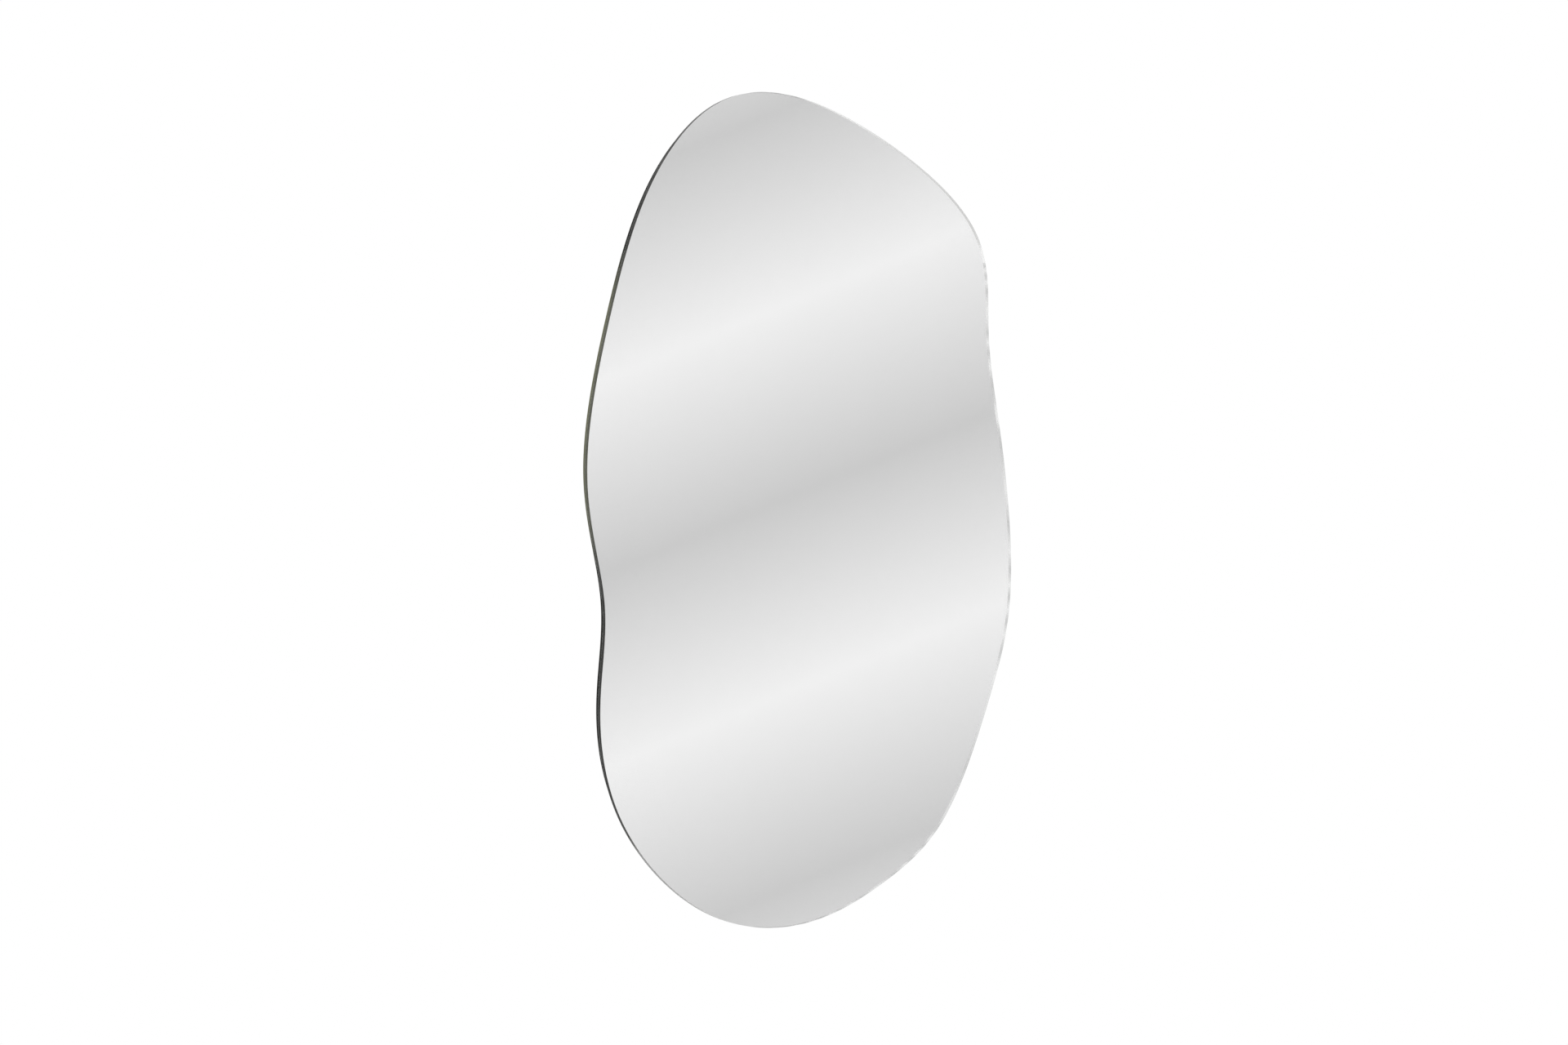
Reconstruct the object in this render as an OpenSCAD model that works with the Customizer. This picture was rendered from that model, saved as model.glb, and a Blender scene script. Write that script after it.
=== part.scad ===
// Frameless wall mirror: a free-form pane with a polished edge that floats in front of the wall
// on a black board of the same form, hung from two D-rings and kept off the wall by four bumpers.
//
// X runs across the mirror, Z points up and Y points into the wall. The wall is the plane y = 0,
// and the origin lies on it midway between the two wall hooks. The mirror looks towards -Y.

/* [Glass] */
// Width of the pane between its outermost points
mirror_w = 500; // [400:10:700]
// Height of the pane between its topmost and lowest points
mirror_h = 700; // [560:10:980]
// Thickness of the float glass
glass_t = 3; // [2:0.5:6]
// Width of the polished arris along both rims of the edge
arris = 0.3; // [0.3:0.1:1]

/* [Coatings on the back of the glass] */
// Thickness of the reflecting silver layer
silver_t = 0.05; // [0.05:0.05:0.2]
// Thickness of the protective paint over the silver
paint_t = 0.1; // [0.05:0.05:0.3]
// Thickness of the film that holds the splinters if the glass breaks
film_t = 0.15; // [0.1:0.05:0.4]
// How far the film stops short of the glass's back face all round
film_inset = 3; // [1:0.5:10]

/* [Back board] */
// How far the board lies inside the edge of the glass, so that it shows only from the side
board_inset = 6.5; // [5:0.5:40]
// How far above the middle of the glass the board is glued
board_lift = 2; // [0:0.5:4]
// Thickness of the fibreboard
board_t = 9; // [9:1:18]
// Chamfer round the board's rear edge
board_chamfer = 0.5; // [0.5:0.5:3]

/* [Bonding between glass and board] */
// Thickness of the foam tape, and so of the joint
tape_t = 1; // [0.8:0.1:3]
// Width of one strip of tape
tape_w = 19; // [12:1:30]
// Number of strips of tape, side by side
tape_count = 3; // [2:1:4]
// Distance of the outer strips' centre lines from the board's sides
tape_side = 80; // [60:5:110]
// Width of one pressed bead of mirror adhesive, between two strips
bead_w = 10; // [6:1:16]
// How far strips and beads end short of the board's edge
bond_margin = 15; // [8:1:40]

/* [Hangers] */
// Distance between the two wall hooks
hook_gap = 240; // [160:10:260]
// Distance from the top of the glass down to the wall hooks
hook_drop = 180; // [150:5:240]
// Width of the steel strap
strap_w = 15; // [12:1:20]
// Thickness of the strap's sheet, which lies double below the ring
strap_t = 1; // [0.8:0.1:1.3]
// Distance from the ring's bar to where the two layers of the strap meet
fold_l = 7; // [6.5:0.5:9]
// Length of strap below the lower screw
strap_end = 8; // [7:0.5:14]
// Diameter of the ring's wire
wire_d = 3; // [2.5:0.25:3.5]
// Radial clearance of the ring's bar in the rolled strap
ring_fit = 0.1; // [0.05:0.01:0.1]
// Play between the strap and the ring's bends, on each side
ring_play = 1; // [0.5:0.25:2]
// Inner radius of the bends at the ends of the ring's bar
bend_r = 2.5; // [2:0.25:4]
// Height of the opening in the ring
ring_h = 19; // [17:0.5:24]
// Gap that stays between the resting ring and what it leans on
ring_rest = 0.3; // [0.2:0.05:0.4]

/* [Screws] */
// Diameter of the screws' shank
screw_d = 3.5; // [3:0.5:4]
// Diameter of the screws' pan head
head_d = 7; // [6:0.5:8]
// Height of the screws' pan head
head_h = 2.2; // [1.8:0.1:2.4]
// Depth that each screw bites into the board
screw_bite = 7; // [5.5:0.5:7.5]
// Radial clearance of a screw in the board
screw_fit = 0.05; // [0.02:0.01:0.1]
// Radial clearance of a screw in the strap, bumper or washer that it holds
hole_fit = 0.25; // [0.2:0.05:0.4]
// Width of the slots of the cross recess
cross_w = 0.9; // [0.6:0.1:1.2]
// Depth of the cross recess
cross_depth = 1.3; // [0.8:0.1:1.5]

/* [Wall bumpers] */
// Height of a bumper, which is the gap between board and wall
bumper_h = 8; // [8:0.5:14]
// Diameter of a bumper where it lies on the board
bumper_d = 20; // [17:0.5:26]
// How much the bumper narrows towards the wall, on the radius
bumper_taper = 1.5; // [0.5:0.25:2.5]
// Radius of the bumper's rounded rim
bumper_round = 1; // [0.5:0.25:1.5]
// Thickness of rubber under the washer
bumper_floor = 3.6; // [2:0.2:4]
// Outer diameter of the washer that the bumper holds
washer_d = 9; // [8.5:0.25:10]
// Thickness of the washer
washer_t = 1; // [0.6:0.1:1.2]
// Radial clearance of the washer in the bumper
washer_fit = 0.1; // [0.05:0.05:0.3]
// Distance of the bumpers' centres from the board's sides
bumper_side = 30; // [20:1:45]
// Distance of the two rows of bumpers from the board's top and bottom
bumper_row = 70; // [55:5:110]

/* [Hidden] */
$fn = 64;

// Control points of the outline, clockwise from the top as seen from the front, read for a pane of
// 500 by 700 and counted from its middle. A closed cubic B-spline turns them into the free form.
CONTROL = [[-20, 355], [100, 320], [230, 250], [215, 155], [240, 70], [260, -80], [225, -165],
           [170, -280], [95, -320], [0, -355], [-120, -340], [-220, -250], [-235, -150],
           [-215, -75], [-255, 20], [-220, 155], [-185, 260], [-115, 340]];
// Points sampled along the whole outline
STEPS = 240;
// Points in the strap's rolled eye and in a bumper's rounded rim
EYE_STEPS = 24;
ROUND_STEPS = 6;
// Where the gap between the strap's layers opens into the eye, as a share of the eye's radius
GAP_OPENS = 0.8;
// Extra depth of each pilot hole below its screw's tip
TIP_ROOM = 0.5;
// Overlap of a cutting shape past the face that it cuts
CUT = 1;

// Layers from the wall to the front of the glass, as places on the Y axis
board_rear = -bumper_h;
board_front = board_rear - board_t;
film_front = board_front - tape_t - film_t;
paint_front = film_front - paint_t;
silver_front = paint_front - silver_t;
glass_front = silver_front - glass_t;

// Ring and strap, with heights counted from the board's rear face
wire_r = wire_d / 2;
eye_r = wire_r + ring_fit;
bar_up = eye_r + strap_t;
ring_reach = ring_h + wire_d;
arm_x = strap_w / 2 + ring_play + bend_r + wire_r;
ring_lean = asin((bar_up - wire_r - ring_rest) / ring_reach);
bar_z = -(ring_h + wire_r) * cos(ring_lean);
screw_upper = fold_l + head_d / 2 + CUT;
screw_lower = ring_reach + wire_r + head_d / 2 + CUT;
strap_l = screw_lower + strap_end;

// Bumper
bumper_seat = bumper_floor + washer_t;

// Weighted sum of four neighbouring control points
function blend(u, w) =
    let (n = len(CONTROL), i = floor(u))
    w[0] * CONTROL[(i + n - 1) % n] + w[1] * CONTROL[i % n]
    + w[2] * CONTROL[(i + 1) % n] + w[3] * CONTROL[(i + 2) % n];

// Point of the closed cubic B-spline at parameter u, before it is scaled
function curve(u) =
    let (t = u - floor(u), s = 1 - t)
    blend(u, [s * s * s, 3 * t * t * t - 6 * t * t + 4, 3 * s * s * s - 6 * s * s + 4, t * t * t]) / 6;

// Direction of the B-spline at parameter u
function heading(u) =
    let (t = u - floor(u), s = 1 - t)
    blend(u, [-s * s, 3 * t * t - 4 * t, 4 * s - 3 * s * s, t * t]) / 2;

params = [for (k = [0:STEPS - 1]) k * len(CONTROL) / STEPS];
raw = [for (u = params) curve(u)];
raw_low = [min([for (p = raw) p[0]]), min([for (p = raw) p[1]])];
raw_high = [max([for (p = raw) p[0]]), max([for (p = raw) p[1]])];
stretch = [mirror_w / (raw_high[0] - raw_low[0]), mirror_h / (raw_high[1] - raw_low[1])];

function scaled(p) = [p[0] * stretch[0], p[1] * stretch[1]];

// The outline of the pane, moved inwards by a distance, as points in X and Z
function rim(inset) =
    let (middle = (raw_low + raw_high) / 2, centre = [0, hook_drop - mirror_h / 2])
    [for (k = [0:STEPS - 1])
        let (p = centre + scaled(raw[k] - middle), d = scaled(heading(params[k])))
        p + inset * [d[1], -d[0]] / norm(d)];

// Where an outline crosses the line on which coordinate axis has the given value
function crossings(points, axis, value) =
    [for (k = [0:len(points) - 1])
        let (a = points[k], b = points[(k + 1) % len(points)], other = 1 - axis)
        if ((a[axis] - value) * (b[axis] - value) < 0)
            a[other] + (value - a[axis]) * (b[other] - a[other]) / (b[axis] - a[axis])];

// The outline of the board, which lies inside the pane's by a distance and a little higher
function board_outline(inset) = [for (p = rim(inset)) p + [0, board_lift]];

board_rim = board_outline(board_inset);
board_low = [min([for (p = board_rim) p[0]]), min([for (p = board_rim) p[1]])];
board_high = [max([for (p = board_rim) p[0]]), max([for (p = board_rim) p[1]])];

// Lowest and highest ends of an upright strip on the board
function strip_ends(x, width) =
    let (left = crossings(board_rim, 0, x - width / 2), right = crossings(board_rim, 0, x + width / 2))
    [max(min(left), min(right)) + bond_margin, min(max(left), max(right)) - bond_margin];

// Centre line of a strip of tape; values between two whole numbers lie between two strips
function tape_x(i) =
    let (first = board_low[0] + tape_side, last = board_high[0] - tape_side)
    first + i * (last - first) / (tape_count - 1);

// Place of a bumper on the board: side and row are -1 or 1, for left or right and lower or upper
function bumper_at(side, row) =
    let (z = row > 0 ? board_high[1] - bumper_row : board_low[1] + bumper_row,
         across = crossings(board_rim, 1, z))
    [side > 0 ? max(across) - bumper_side : min(across) + bumper_side, z];

BUMPERS = [for (row = [1, -1]) for (side = [-1, 1]) bumper_at(side, row)];

function arc(centre, r, from, to, steps) =
    [for (k = [0:steps]) let (a = from + (to - from) * k / steps) centre + r * [cos(a), sin(a)]];

// A flat plate with the given outline in X and Z
module plate(points, front, thickness)
    translate([0, front + thickness, 0]) rotate([90, 0, 0]) linear_extrude(thickness) polygon(points);

// Stands a shape made along +Z on the board's rear face, pointing to the wall
module on_board(x, z)
    translate([x, board_rear, z]) rotate([-90, 0, 0]) children();

// A closed skin through rings of points, each ring given as its outline and its place on Y
module layered(rings) {
    n = len(rings[0][0]);
    points = [for (ring = rings) for (p = ring[0]) [p[0], ring[1], p[1]]];
    sides = [for (j = [0:len(rings) - 2]) for (k = [0:n - 1])
        let (next = (k + 1) % n)
        [j * n + k, (j + 1) * n + k, (j + 1) * n + next, j * n + next]];
    front = [for (k = [0:n - 1]) k];
    back = [for (k = [n - 1:-1:0]) (len(rings) - 1) * n + k];
    polyhedron(points, concat([front], sides, [back]));
}

// Pan head screw along +Z, with its tip down and the seat of its head at z = 0
module screw(length) {
    tip = screw_d;
    crown = head_h / 3;
    difference() {
        rotate_extrude() polygon([
            [0, -length], [screw_d / 2, tip - length], [screw_d / 2, 0], [head_d / 2, 0],
            [head_d / 2, head_h - crown], [head_d / 2 - crown, head_h], [0, head_h]]);
        for (a = [0, 90]) rotate([0, 0, a])
            translate([-head_d / 4, -cross_w / 2, head_h - cross_depth])
                cube([head_d / 2, cross_w, cross_depth + CUT]);
    }
}

module glass_pane() color("#c9d2cf", 0.35) layered([
    [rim(arris), glass_front], [rim(0), glass_front + arris],
    [rim(0), silver_front - arris], [rim(arris), silver_front]]);

module silvering() color("#e2e4e4") plate(rim(arris), silver_front, silver_t);

module back_paint() color("#5b6360") plate(rim(arris), paint_front, paint_t);

module safety_film() color("#d9dcd8") plate(rim(arris + film_inset), film_front, film_t);

module foam_tape() color("#e9e6dc") for (i = [0:tape_count - 1]) {
    ends = strip_ends(tape_x(i), tape_w);
    translate([tape_x(i) - tape_w / 2, board_front - tape_t, ends[0]])
        cube([tape_w, tape_t, ends[1] - ends[0]]);
}

module adhesive_beads() color("#f2f1ec") for (i = [0:tape_count - 2]) {
    x = tape_x(i + 0.5);
    ends = strip_ends(x, bead_w);
    low = ends[0] + bead_w / 2;
    high = ends[1] - bead_w / 2;
    side = bead_w / 2;
    plate(concat(arc([x, low], side, 180, 360, EYE_STEPS), arc([x, high], side, 0, 180, EYE_STEPS)),
          board_front - tape_t, tape_t);
}

module backing_board() color("#1d1d1c") difference() {
    layered([[board_rim, board_front], [board_rim, board_rear - board_chamfer],
             [board_outline(board_inset + board_chamfer), board_rear]]);
    for (side = [-1, 1]) for (down = [screw_upper, screw_lower])
        on_board(side * hook_gap / 2, bar_z - down) pilot_hole();
    for (p = BUMPERS) on_board(p[0], p[1]) pilot_hole();
}

module pilot_hole()
    translate([0, 0, -screw_bite - TIP_ROOM])
        cylinder(r = screw_d / 2 + screw_fit, h = screw_bite + TIP_ROOM + CUT);

// Side view of the folded strap: X is the height above the board, Y the height above the bar.
// It runs up the board, rolls round the ring's bar and folds back on itself.
module strap_side() {
    centre = [bar_up, 0];
    meet = [2 * strap_t, -fold_l];
    away = meet - centre;
    leave = atan2(away[1], away[0]) + acos(bar_up / norm(away));
    outer = centre + bar_up * [cos(leave), sin(leave)];
    inner = centre + eye_r * [cos(leave), sin(leave)];
    slant = meet - outer;
    close = inner + slant * (strap_t - inner[0]) / slant[0];
    difference() {
        polygon(concat([[0, -strap_l]], arc(centre, bar_up, 180, leave, EYE_STEPS),
                       [meet, [2 * strap_t, -strap_l]]));
        translate(centre) circle(r = eye_r);
        polygon([centre + GAP_OPENS * (inner - centre), close, centre - [GAP_OPENS * eye_r, 0]]);
    }
}

// The folded strap of the hanger on one side, with its lower end rounded and two screw holes
module hanger_strap(side)
    translate([side * hook_gap / 2, 0, bar_z]) difference() {
        intersection() {
            translate([-strap_w / 2 - CUT, board_rear, 0]) rotate([90, 0, 90])
                linear_extrude(strap_w + 2 * CUT) strap_side();
            translate([0, board_rear + 2 * bar_up + CUT, 0]) rotate([90, 0, 0])
                linear_extrude(2 * bar_up + 2 * CUT) strap_front();
        }
        for (down = [screw_upper, screw_lower])
            on_board(0, -down) translate([0, 0, -CUT])
                cylinder(r = screw_d / 2 + hole_fit, h = 2 * strap_t + 2 * CUT);
    }

// Front view of the strap
module strap_front() {
    straight = strap_l - strap_w / 2;
    translate([-strap_w / 2, -straight]) square([strap_w, straight + bar_up + CUT]);
    translate([0, -straight]) circle(d = strap_w);
}

// The D-shaped ring, with its bar in the strap's eye and its bow leaning on the board
module hanger_ring(side) {
    corner = bend_r + wire_r;
    spring_line = ring_reach - arm_x;
    translate([side * hook_gap / 2, board_rear + bar_up, bar_z]) rotate([90 + ring_lean, 0, 0]) {
        rotate([0, 90, 0]) cylinder(r = wire_r, h = 2 * (arm_x - corner), center = true);
        translate([arm_x - corner, corner, 0]) rotate([0, 0, -90]) wire_bend(corner, 90);
        translate([corner - arm_x, corner, 0]) rotate([0, 0, 180]) wire_bend(corner, 90);
        for (x = [-arm_x, arm_x]) translate([x, corner, 0]) rotate([-90, 0, 0])
            cylinder(r = wire_r, h = spring_line - corner);
        translate([0, spring_line, 0]) wire_bend(arm_x, 180);
    }
}

// A stretch of wire bent about Z through an angle
module wire_bend(radius, angle)
    rotate_extrude(angle = angle) translate([radius, 0]) circle(r = wire_r);

module hanger_screws(side)
    for (down = [screw_upper, screw_lower])
        on_board(side * hook_gap / 2, bar_z - down) translate([0, 0, 2 * strap_t])
            screw(2 * strap_t + screw_bite);

module hanger_strap_left() color("#b9bcbf") hanger_strap(-1);
module hanger_strap_right() color("#b9bcbf") hanger_strap(1);
module hanger_ring_left() color("#c6c9cc") hanger_ring(-1);
module hanger_ring_right() color("#c6c9cc") hanger_ring(1);
module hanger_screws_left() color("#a9acb0") hanger_screws(-1);
module hanger_screws_right() color("#a9acb0") hanger_screws(1);

// Rubber bumper, recessed from the wall side for a washer and a screw head
module bumper(place) {
    hole_r = screw_d / 2 + hole_fit;
    recess_r = washer_d / 2 + washer_fit;
    top_r = bumper_d / 2 - bumper_taper;
    on_board(place[0], place[1]) rotate_extrude() polygon(concat(
        [[hole_r, 0], [bumper_d / 2, 0]],
        arc([top_r - bumper_round, bumper_h - bumper_round], bumper_round, 0, 90, ROUND_STEPS),
        [[recess_r, bumper_h], [recess_r, bumper_floor], [hole_r, bumper_floor]]));
}

module bumper_upper_left() color("#262625") bumper(BUMPERS[0]);
module bumper_upper_right() color("#262625") bumper(BUMPERS[1]);
module bumper_lower_left() color("#262625") bumper(BUMPERS[2]);
module bumper_lower_right() color("#262625") bumper(BUMPERS[3]);

module bumper_washers() color("#b4b7ba")
    for (p = BUMPERS) on_board(p[0], p[1]) translate([0, 0, bumper_floor]) difference() {
        cylinder(d = washer_d, h = washer_t);
        translate([0, 0, -CUT]) cylinder(r = screw_d / 2 + hole_fit, h = washer_t + 2 * CUT);
    }

module bumper_screws() color("#a9acb0")
    for (p = BUMPERS) on_board(p[0], p[1]) translate([0, 0, bumper_seat])
        screw(bumper_seat + screw_bite);

glass_pane();
silvering();
back_paint();
safety_film();
foam_tape();
adhesive_beads();
backing_board();
hanger_strap_left();
hanger_strap_right();
hanger_ring_left();
hanger_ring_right();
hanger_screws_left();
hanger_screws_right();
bumper_upper_left();
bumper_upper_right();
bumper_lower_left();
bumper_lower_right();
bumper_washers();
bumper_screws();
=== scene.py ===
"""Looks of a frameless wall mirror: a free-form pane on a black board, hung from two D-rings."""

import math

import bpy
from bpy.props import FloatProperty, FloatVectorProperty, IntProperty, PointerProperty
from mathutils import Euler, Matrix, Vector


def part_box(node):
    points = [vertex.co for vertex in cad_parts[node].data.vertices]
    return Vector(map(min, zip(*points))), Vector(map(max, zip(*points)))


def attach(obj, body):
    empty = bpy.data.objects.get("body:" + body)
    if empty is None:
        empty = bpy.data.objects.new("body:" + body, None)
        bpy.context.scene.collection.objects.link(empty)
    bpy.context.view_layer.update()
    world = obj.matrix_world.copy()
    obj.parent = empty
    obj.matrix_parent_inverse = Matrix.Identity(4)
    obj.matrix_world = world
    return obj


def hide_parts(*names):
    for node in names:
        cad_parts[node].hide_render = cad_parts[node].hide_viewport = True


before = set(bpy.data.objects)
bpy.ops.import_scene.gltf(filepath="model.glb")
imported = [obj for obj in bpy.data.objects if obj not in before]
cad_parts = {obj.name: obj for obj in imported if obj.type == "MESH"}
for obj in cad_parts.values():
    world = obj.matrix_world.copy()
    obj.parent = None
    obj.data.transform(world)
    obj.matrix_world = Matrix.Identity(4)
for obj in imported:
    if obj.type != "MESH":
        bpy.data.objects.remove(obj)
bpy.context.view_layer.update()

bl_info = {
    "name": "Free-form Wall Mirror",
    "version": (1, 0, 0),
    "blender": (4, 5, 0),
    "location": "3D View > Sidebar > Mirror",
    "description": "Builds the glass, board, hangers and bumpers of a frameless wall mirror",
    "category": "Add Mesh",
}

# Control points of the outline in millimetres, clockwise from the top as seen from the front. They
# are the corners of a closed cubic B-spline, drawn about the middle of a pane of 500 by 700.
CONTROL = [(-20, 355), (100, 320), (230, 250), (215, 155), (240, 70), (260, -80), (225, -165),
           (170, -280), (95, -320), (0, -355), (-120, -340), (-220, -250), (-235, -150),
           (-215, -75), (-255, 20), (-220, 155), (-185, 260), (-115, 340)]

# Where the CAD pieces lie, as lowest and highest corners in metres
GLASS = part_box("glass_pane")
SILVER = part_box("silvering")
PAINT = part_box("back_paint")
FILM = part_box("safety_film")
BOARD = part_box("backing_board")
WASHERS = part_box("bumper_washers")
CORNERS = ("upper_left", "upper_right", "lower_left", "lower_right")
BUMPERS = [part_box("bumper_" + corner) for corner in CORNERS]
SIDES = {"left": -1, "right": 1}

MM = 0.001
SAME_PLACE = 1e-6  # points nearer than this are merged
CREASE = math.radians(28)  # faces that meet at more than this angle show an edge
TO_WALL = Euler((-math.pi / 2, 0, 0))  # turns a shape that stands on Z to point at the wall
PHOTO_WIDTH = 1920  # pixels across the picture that the camera's shift is given in

# Stretches of the rim where light is painted into the edge: a paler olive painted sheen along the
# middle of the left side, and a pale painted highlight at the lower left. Each is centred that far
# right of and above the pane's lower left corner, and has its own look in full up to the third size
# and none past the fourth.
SHEEN_LEFT_MIDDLE = (0.0, 435 * MM, 75 * MM, 145 * MM)
HIGHLIGHT_LOWER_LEFT = (94 * MM, 36 * MM, 50 * MM, 75 * MM)


def linear(code):
    """A colour written as sRGB hex, in the linear values that Blender works with."""
    parts = [int(code[i:i + 2], 16) / 255 for i in (1, 3, 5)]
    return [p / 12.92 if p <= 0.04045 else ((p + 0.055) / 1.055) ** 2.4 for p in parts] + [1.0]


def shade(colour, share):
    """A colour made darker or lighter."""
    return [min(1.0, c * share) for c in colour[:3]] + [1.0]


def thickness(box):
    """Size of a CAD piece from front to back."""
    return box[1].y - box[0].y


def middle(box):
    """Centre of a CAD piece's box."""
    return (box[0] + box[1]) / 2


# Sizes and colours

def length(name, default, description):
    """A size that the sidebar shows as a length."""
    return FloatProperty(name=name, description=description, default=default, min=0.0,
                         precision=4, unit="LENGTH", subtype="DISTANCE")


def tint(name, code, description):
    """A colour that the sidebar shows as a swatch."""
    return FloatVectorProperty(name=name, description=description, default=linear(code), size=4,
                               min=0.0, max=1.0, subtype="COLOR")


class MirrorGlassSettings(bpy.types.PropertyGroup):
    """Sizes and colours of the glass and of the coats on its back."""
    points: IntProperty(name="Outline points", default=960, min=120, max=3000,
                        description="Points along the outline of the pane")
    arris: length("Arris", 0.05 * MM, "Width of the polished arris along both rims of the edge")
    film_inset: length("Film inset", 3 * MM, "How far the film stops short of the silver")
    glass: tint("Glass", "#ffffff", "Tint that the clear glass gives to what is seen through it")
    edge: tint("Edge", "#8f917a", "Colour of the haze on the polished edge")
    silver: tint("Silver", "#f9f9f9", "Colour of the silver layer")
    paint: tint("Back paint", "#77807c", "Colour of the paint over the silver")
    film: tint("Film", "#c9cecb", "Colour of the splinter film over the paint")


class MirrorBoardSettings(bpy.types.PropertyGroup):
    """Sizes and colours of the board and of what bonds it to the glass."""
    inset: length("Inset", 6.5 * MM, "How far the board lies inside the edge of the glass")
    chamfer: length("Chamfer", 0.5 * MM, "Chamfer round the board's rear edge")
    board: tint("Lacquer", "#161616", "Colour of the lacquered fibreboard")
    edge: tint("Edge", "#22221e", "Colour of the lacquer on the board's milled edge")
    # The pale edge colour is a painted sheen, laid over the middle of the left side
    edge_painted_sheen: tint("Pale edge", "#7b7c66", "Colour of that edge where the lacquer is thin")
    foam: tint("Foam tape", "#e4e2da", "Colour of the foam tape")
    adhesive: tint("Adhesive", "#eceae2", "Colour of the cured adhesive")
    bare: tint("Bare board", "#80684c", "Colour of the fibreboard inside its drilled holes")


class MirrorHangerSettings(bpy.types.PropertyGroup):
    """Sizes and colours of the D-ring hangers."""
    hook_gap: length("Hook gap", 240 * MM, "Distance between the two wall hooks")
    strap_width: length("Strap width", 15 * MM, "Width of the strap")
    sheet: length("Sheet thickness", 1 * MM, "Thickness of the strap's sheet")
    fold: length("Fold", 7 * MM, "Distance from the ring's bar to where the layers meet")
    wire: length("Wire diameter", 3 * MM, "Diameter of the ring's wire")
    fit: length("Ring clearance", 0.1 * MM, "Radial clearance of the ring's bar in the strap")
    play: length("Ring play", 1 * MM, "Play between the strap and the ring's bends")
    bend: length("Bend radius", 2.5 * MM, "Inner radius of the bends beside the bar")
    opening: length("Ring opening", 19 * MM, "Height of the opening in the ring")
    rest: length("Resting gap", 0.3 * MM, "Gap between the resting ring and the board")
    zinc_blue: tint("Bluish zinc", "#bfc5cb", "Colour of the zinc plating where it is bluish")
    zinc_yellow: tint("Yellowish zinc", "#c9c8c1", "Colour of the zinc plating where it is yellow")


class MirrorScrewSettings(bpy.types.PropertyGroup):
    """Sizes and colour of the pan head screws."""
    shank: length("Shank diameter", 3.5 * MM, "Diameter over the thread")
    head: length("Head diameter", 7 * MM, "Diameter of the pan head")
    height: length("Head height", 2.2 * MM, "Height of the pan head")
    bite: length("Bite", 7 * MM, "Depth of the screw in the board")
    tip_room: length("Tip room", 0.5 * MM, "Room in the pilot hole below the screw's tip")
    pitch: length("Thread pitch", 1.3 * MM, "Distance from one turn of the thread to the next")
    clearance: length("Pilot clearance", 0.05 * MM, "Radial clearance in the pilot hole")
    hole: length("Hole clearance", 0.25 * MM, "Radial clearance in the piece that it holds")
    steel: tint("Screw", "#b9bcc0", "Colour of the screws' zinc plating")


class MirrorBumperSettings(bpy.types.PropertyGroup):
    """Sizes and colour of the wall bumpers, and sizes of their washers."""
    taper: length("Taper", 1.5 * MM, "How much the bumper narrows to the wall, on its radius")
    rim: length("Rim radius", 1 * MM, "Radius of the rounded rim")
    floor: length("Floor", 3.6 * MM, "Thickness of rubber under the washer")
    fit: length("Washer clearance", 0.1 * MM, "Radial clearance of the washer")
    washer: length("Washer diameter", 9 * MM, "Outer diameter of the washer")
    washer_sheet: length("Washer thickness", 1 * MM, "Thickness of the washer")
    rubber: tint("Rubber", "#232323", "Colour of the rubber")


class MirrorStageSettings(bpy.types.PropertyGroup):
    """Camera, floor and light."""
    yaw: FloatProperty(name="Camera yaw", default=math.radians(44), subtype="ANGLE",
                       description="Angle of the camera to the left of the mirror's axis")
    distance: length("Camera distance", 2.5, "Distance from the camera to the glass")
    lens: FloatProperty(name="Lens", default=68.06, min=1.0, subtype="DISTANCE_CAMERA",
                        description="Focal length on a sensor 36 mm wide")
    aim_left: length("Aim", 19.3 * MM, "How far left of the hooks' middle the camera's axis runs")
    shift: FloatVectorProperty(name="Shift", size=2,
                               default=(-16.5 / PHOTO_WIDTH, -14.7 / PHOTO_WIDTH),
                               description="Shift of the picture that centres it as photographed")
    hook_height: length("Hook height", 1.7, "Height of the wall hooks above the floor")
    floor_radius: length("Floor radius", 5.5, "Radius of the floor round the object")
    floor: tint("Floor", "#ededec", "Colour of the floor")
    soft_light: FloatProperty(name="Soft light", default=0.55, min=0.0,
                              description="Strength of the even light from all sides")
    light_band: FloatProperty(name="Light bands", default=0.945, min=0.0,
                              description="Brightness of the light bands that the glass mirrors")
    dark_band: FloatProperty(name="Dark bands", default=0.635, min=0.0,
                             description="Brightness between the light bands")
    band_period: FloatProperty(name="Band period", default=0.1309, min=0.01, subtype="ANGLE",
                               description="Angle from one light band up to the next")
    band_phase: FloatProperty(name="Band phase", default=0.4017,
                              description="Share of a period that the bands are moved up by")


GROUPS = {"mirror_glass": MirrorGlassSettings, "mirror_board": MirrorBoardSettings,
          "mirror_hanger": MirrorHangerSettings, "mirror_screw": MirrorScrewSettings,
          "mirror_bumper": MirrorBumperSettings, "mirror_stage": MirrorStageSettings}


# Nodes

def put(tree, kind, links=(), **settings):
    """Adds one node, makes its settings and fills its inputs with values, outputs or nodes."""
    node = tree.nodes.new(kind)
    for name, value in settings.items():
        setattr(node, name, value)
    for key, source in dict(links).items():
        socket = node.inputs[key] if isinstance(key, int) else next(
            s for s in node.inputs if s.name == key and s.enabled)
        several = isinstance(source, list) and isinstance(source[0], bpy.types.Node)
        for one in reversed(source) if several else [source]:
            if isinstance(one, bpy.types.Node):
                one = next(s for s in one.outputs if s.enabled)
            if isinstance(one, bpy.types.NodeSocket):
                tree.links.new(one, socket)
            else:
                socket.default_value = one
    return node


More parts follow.
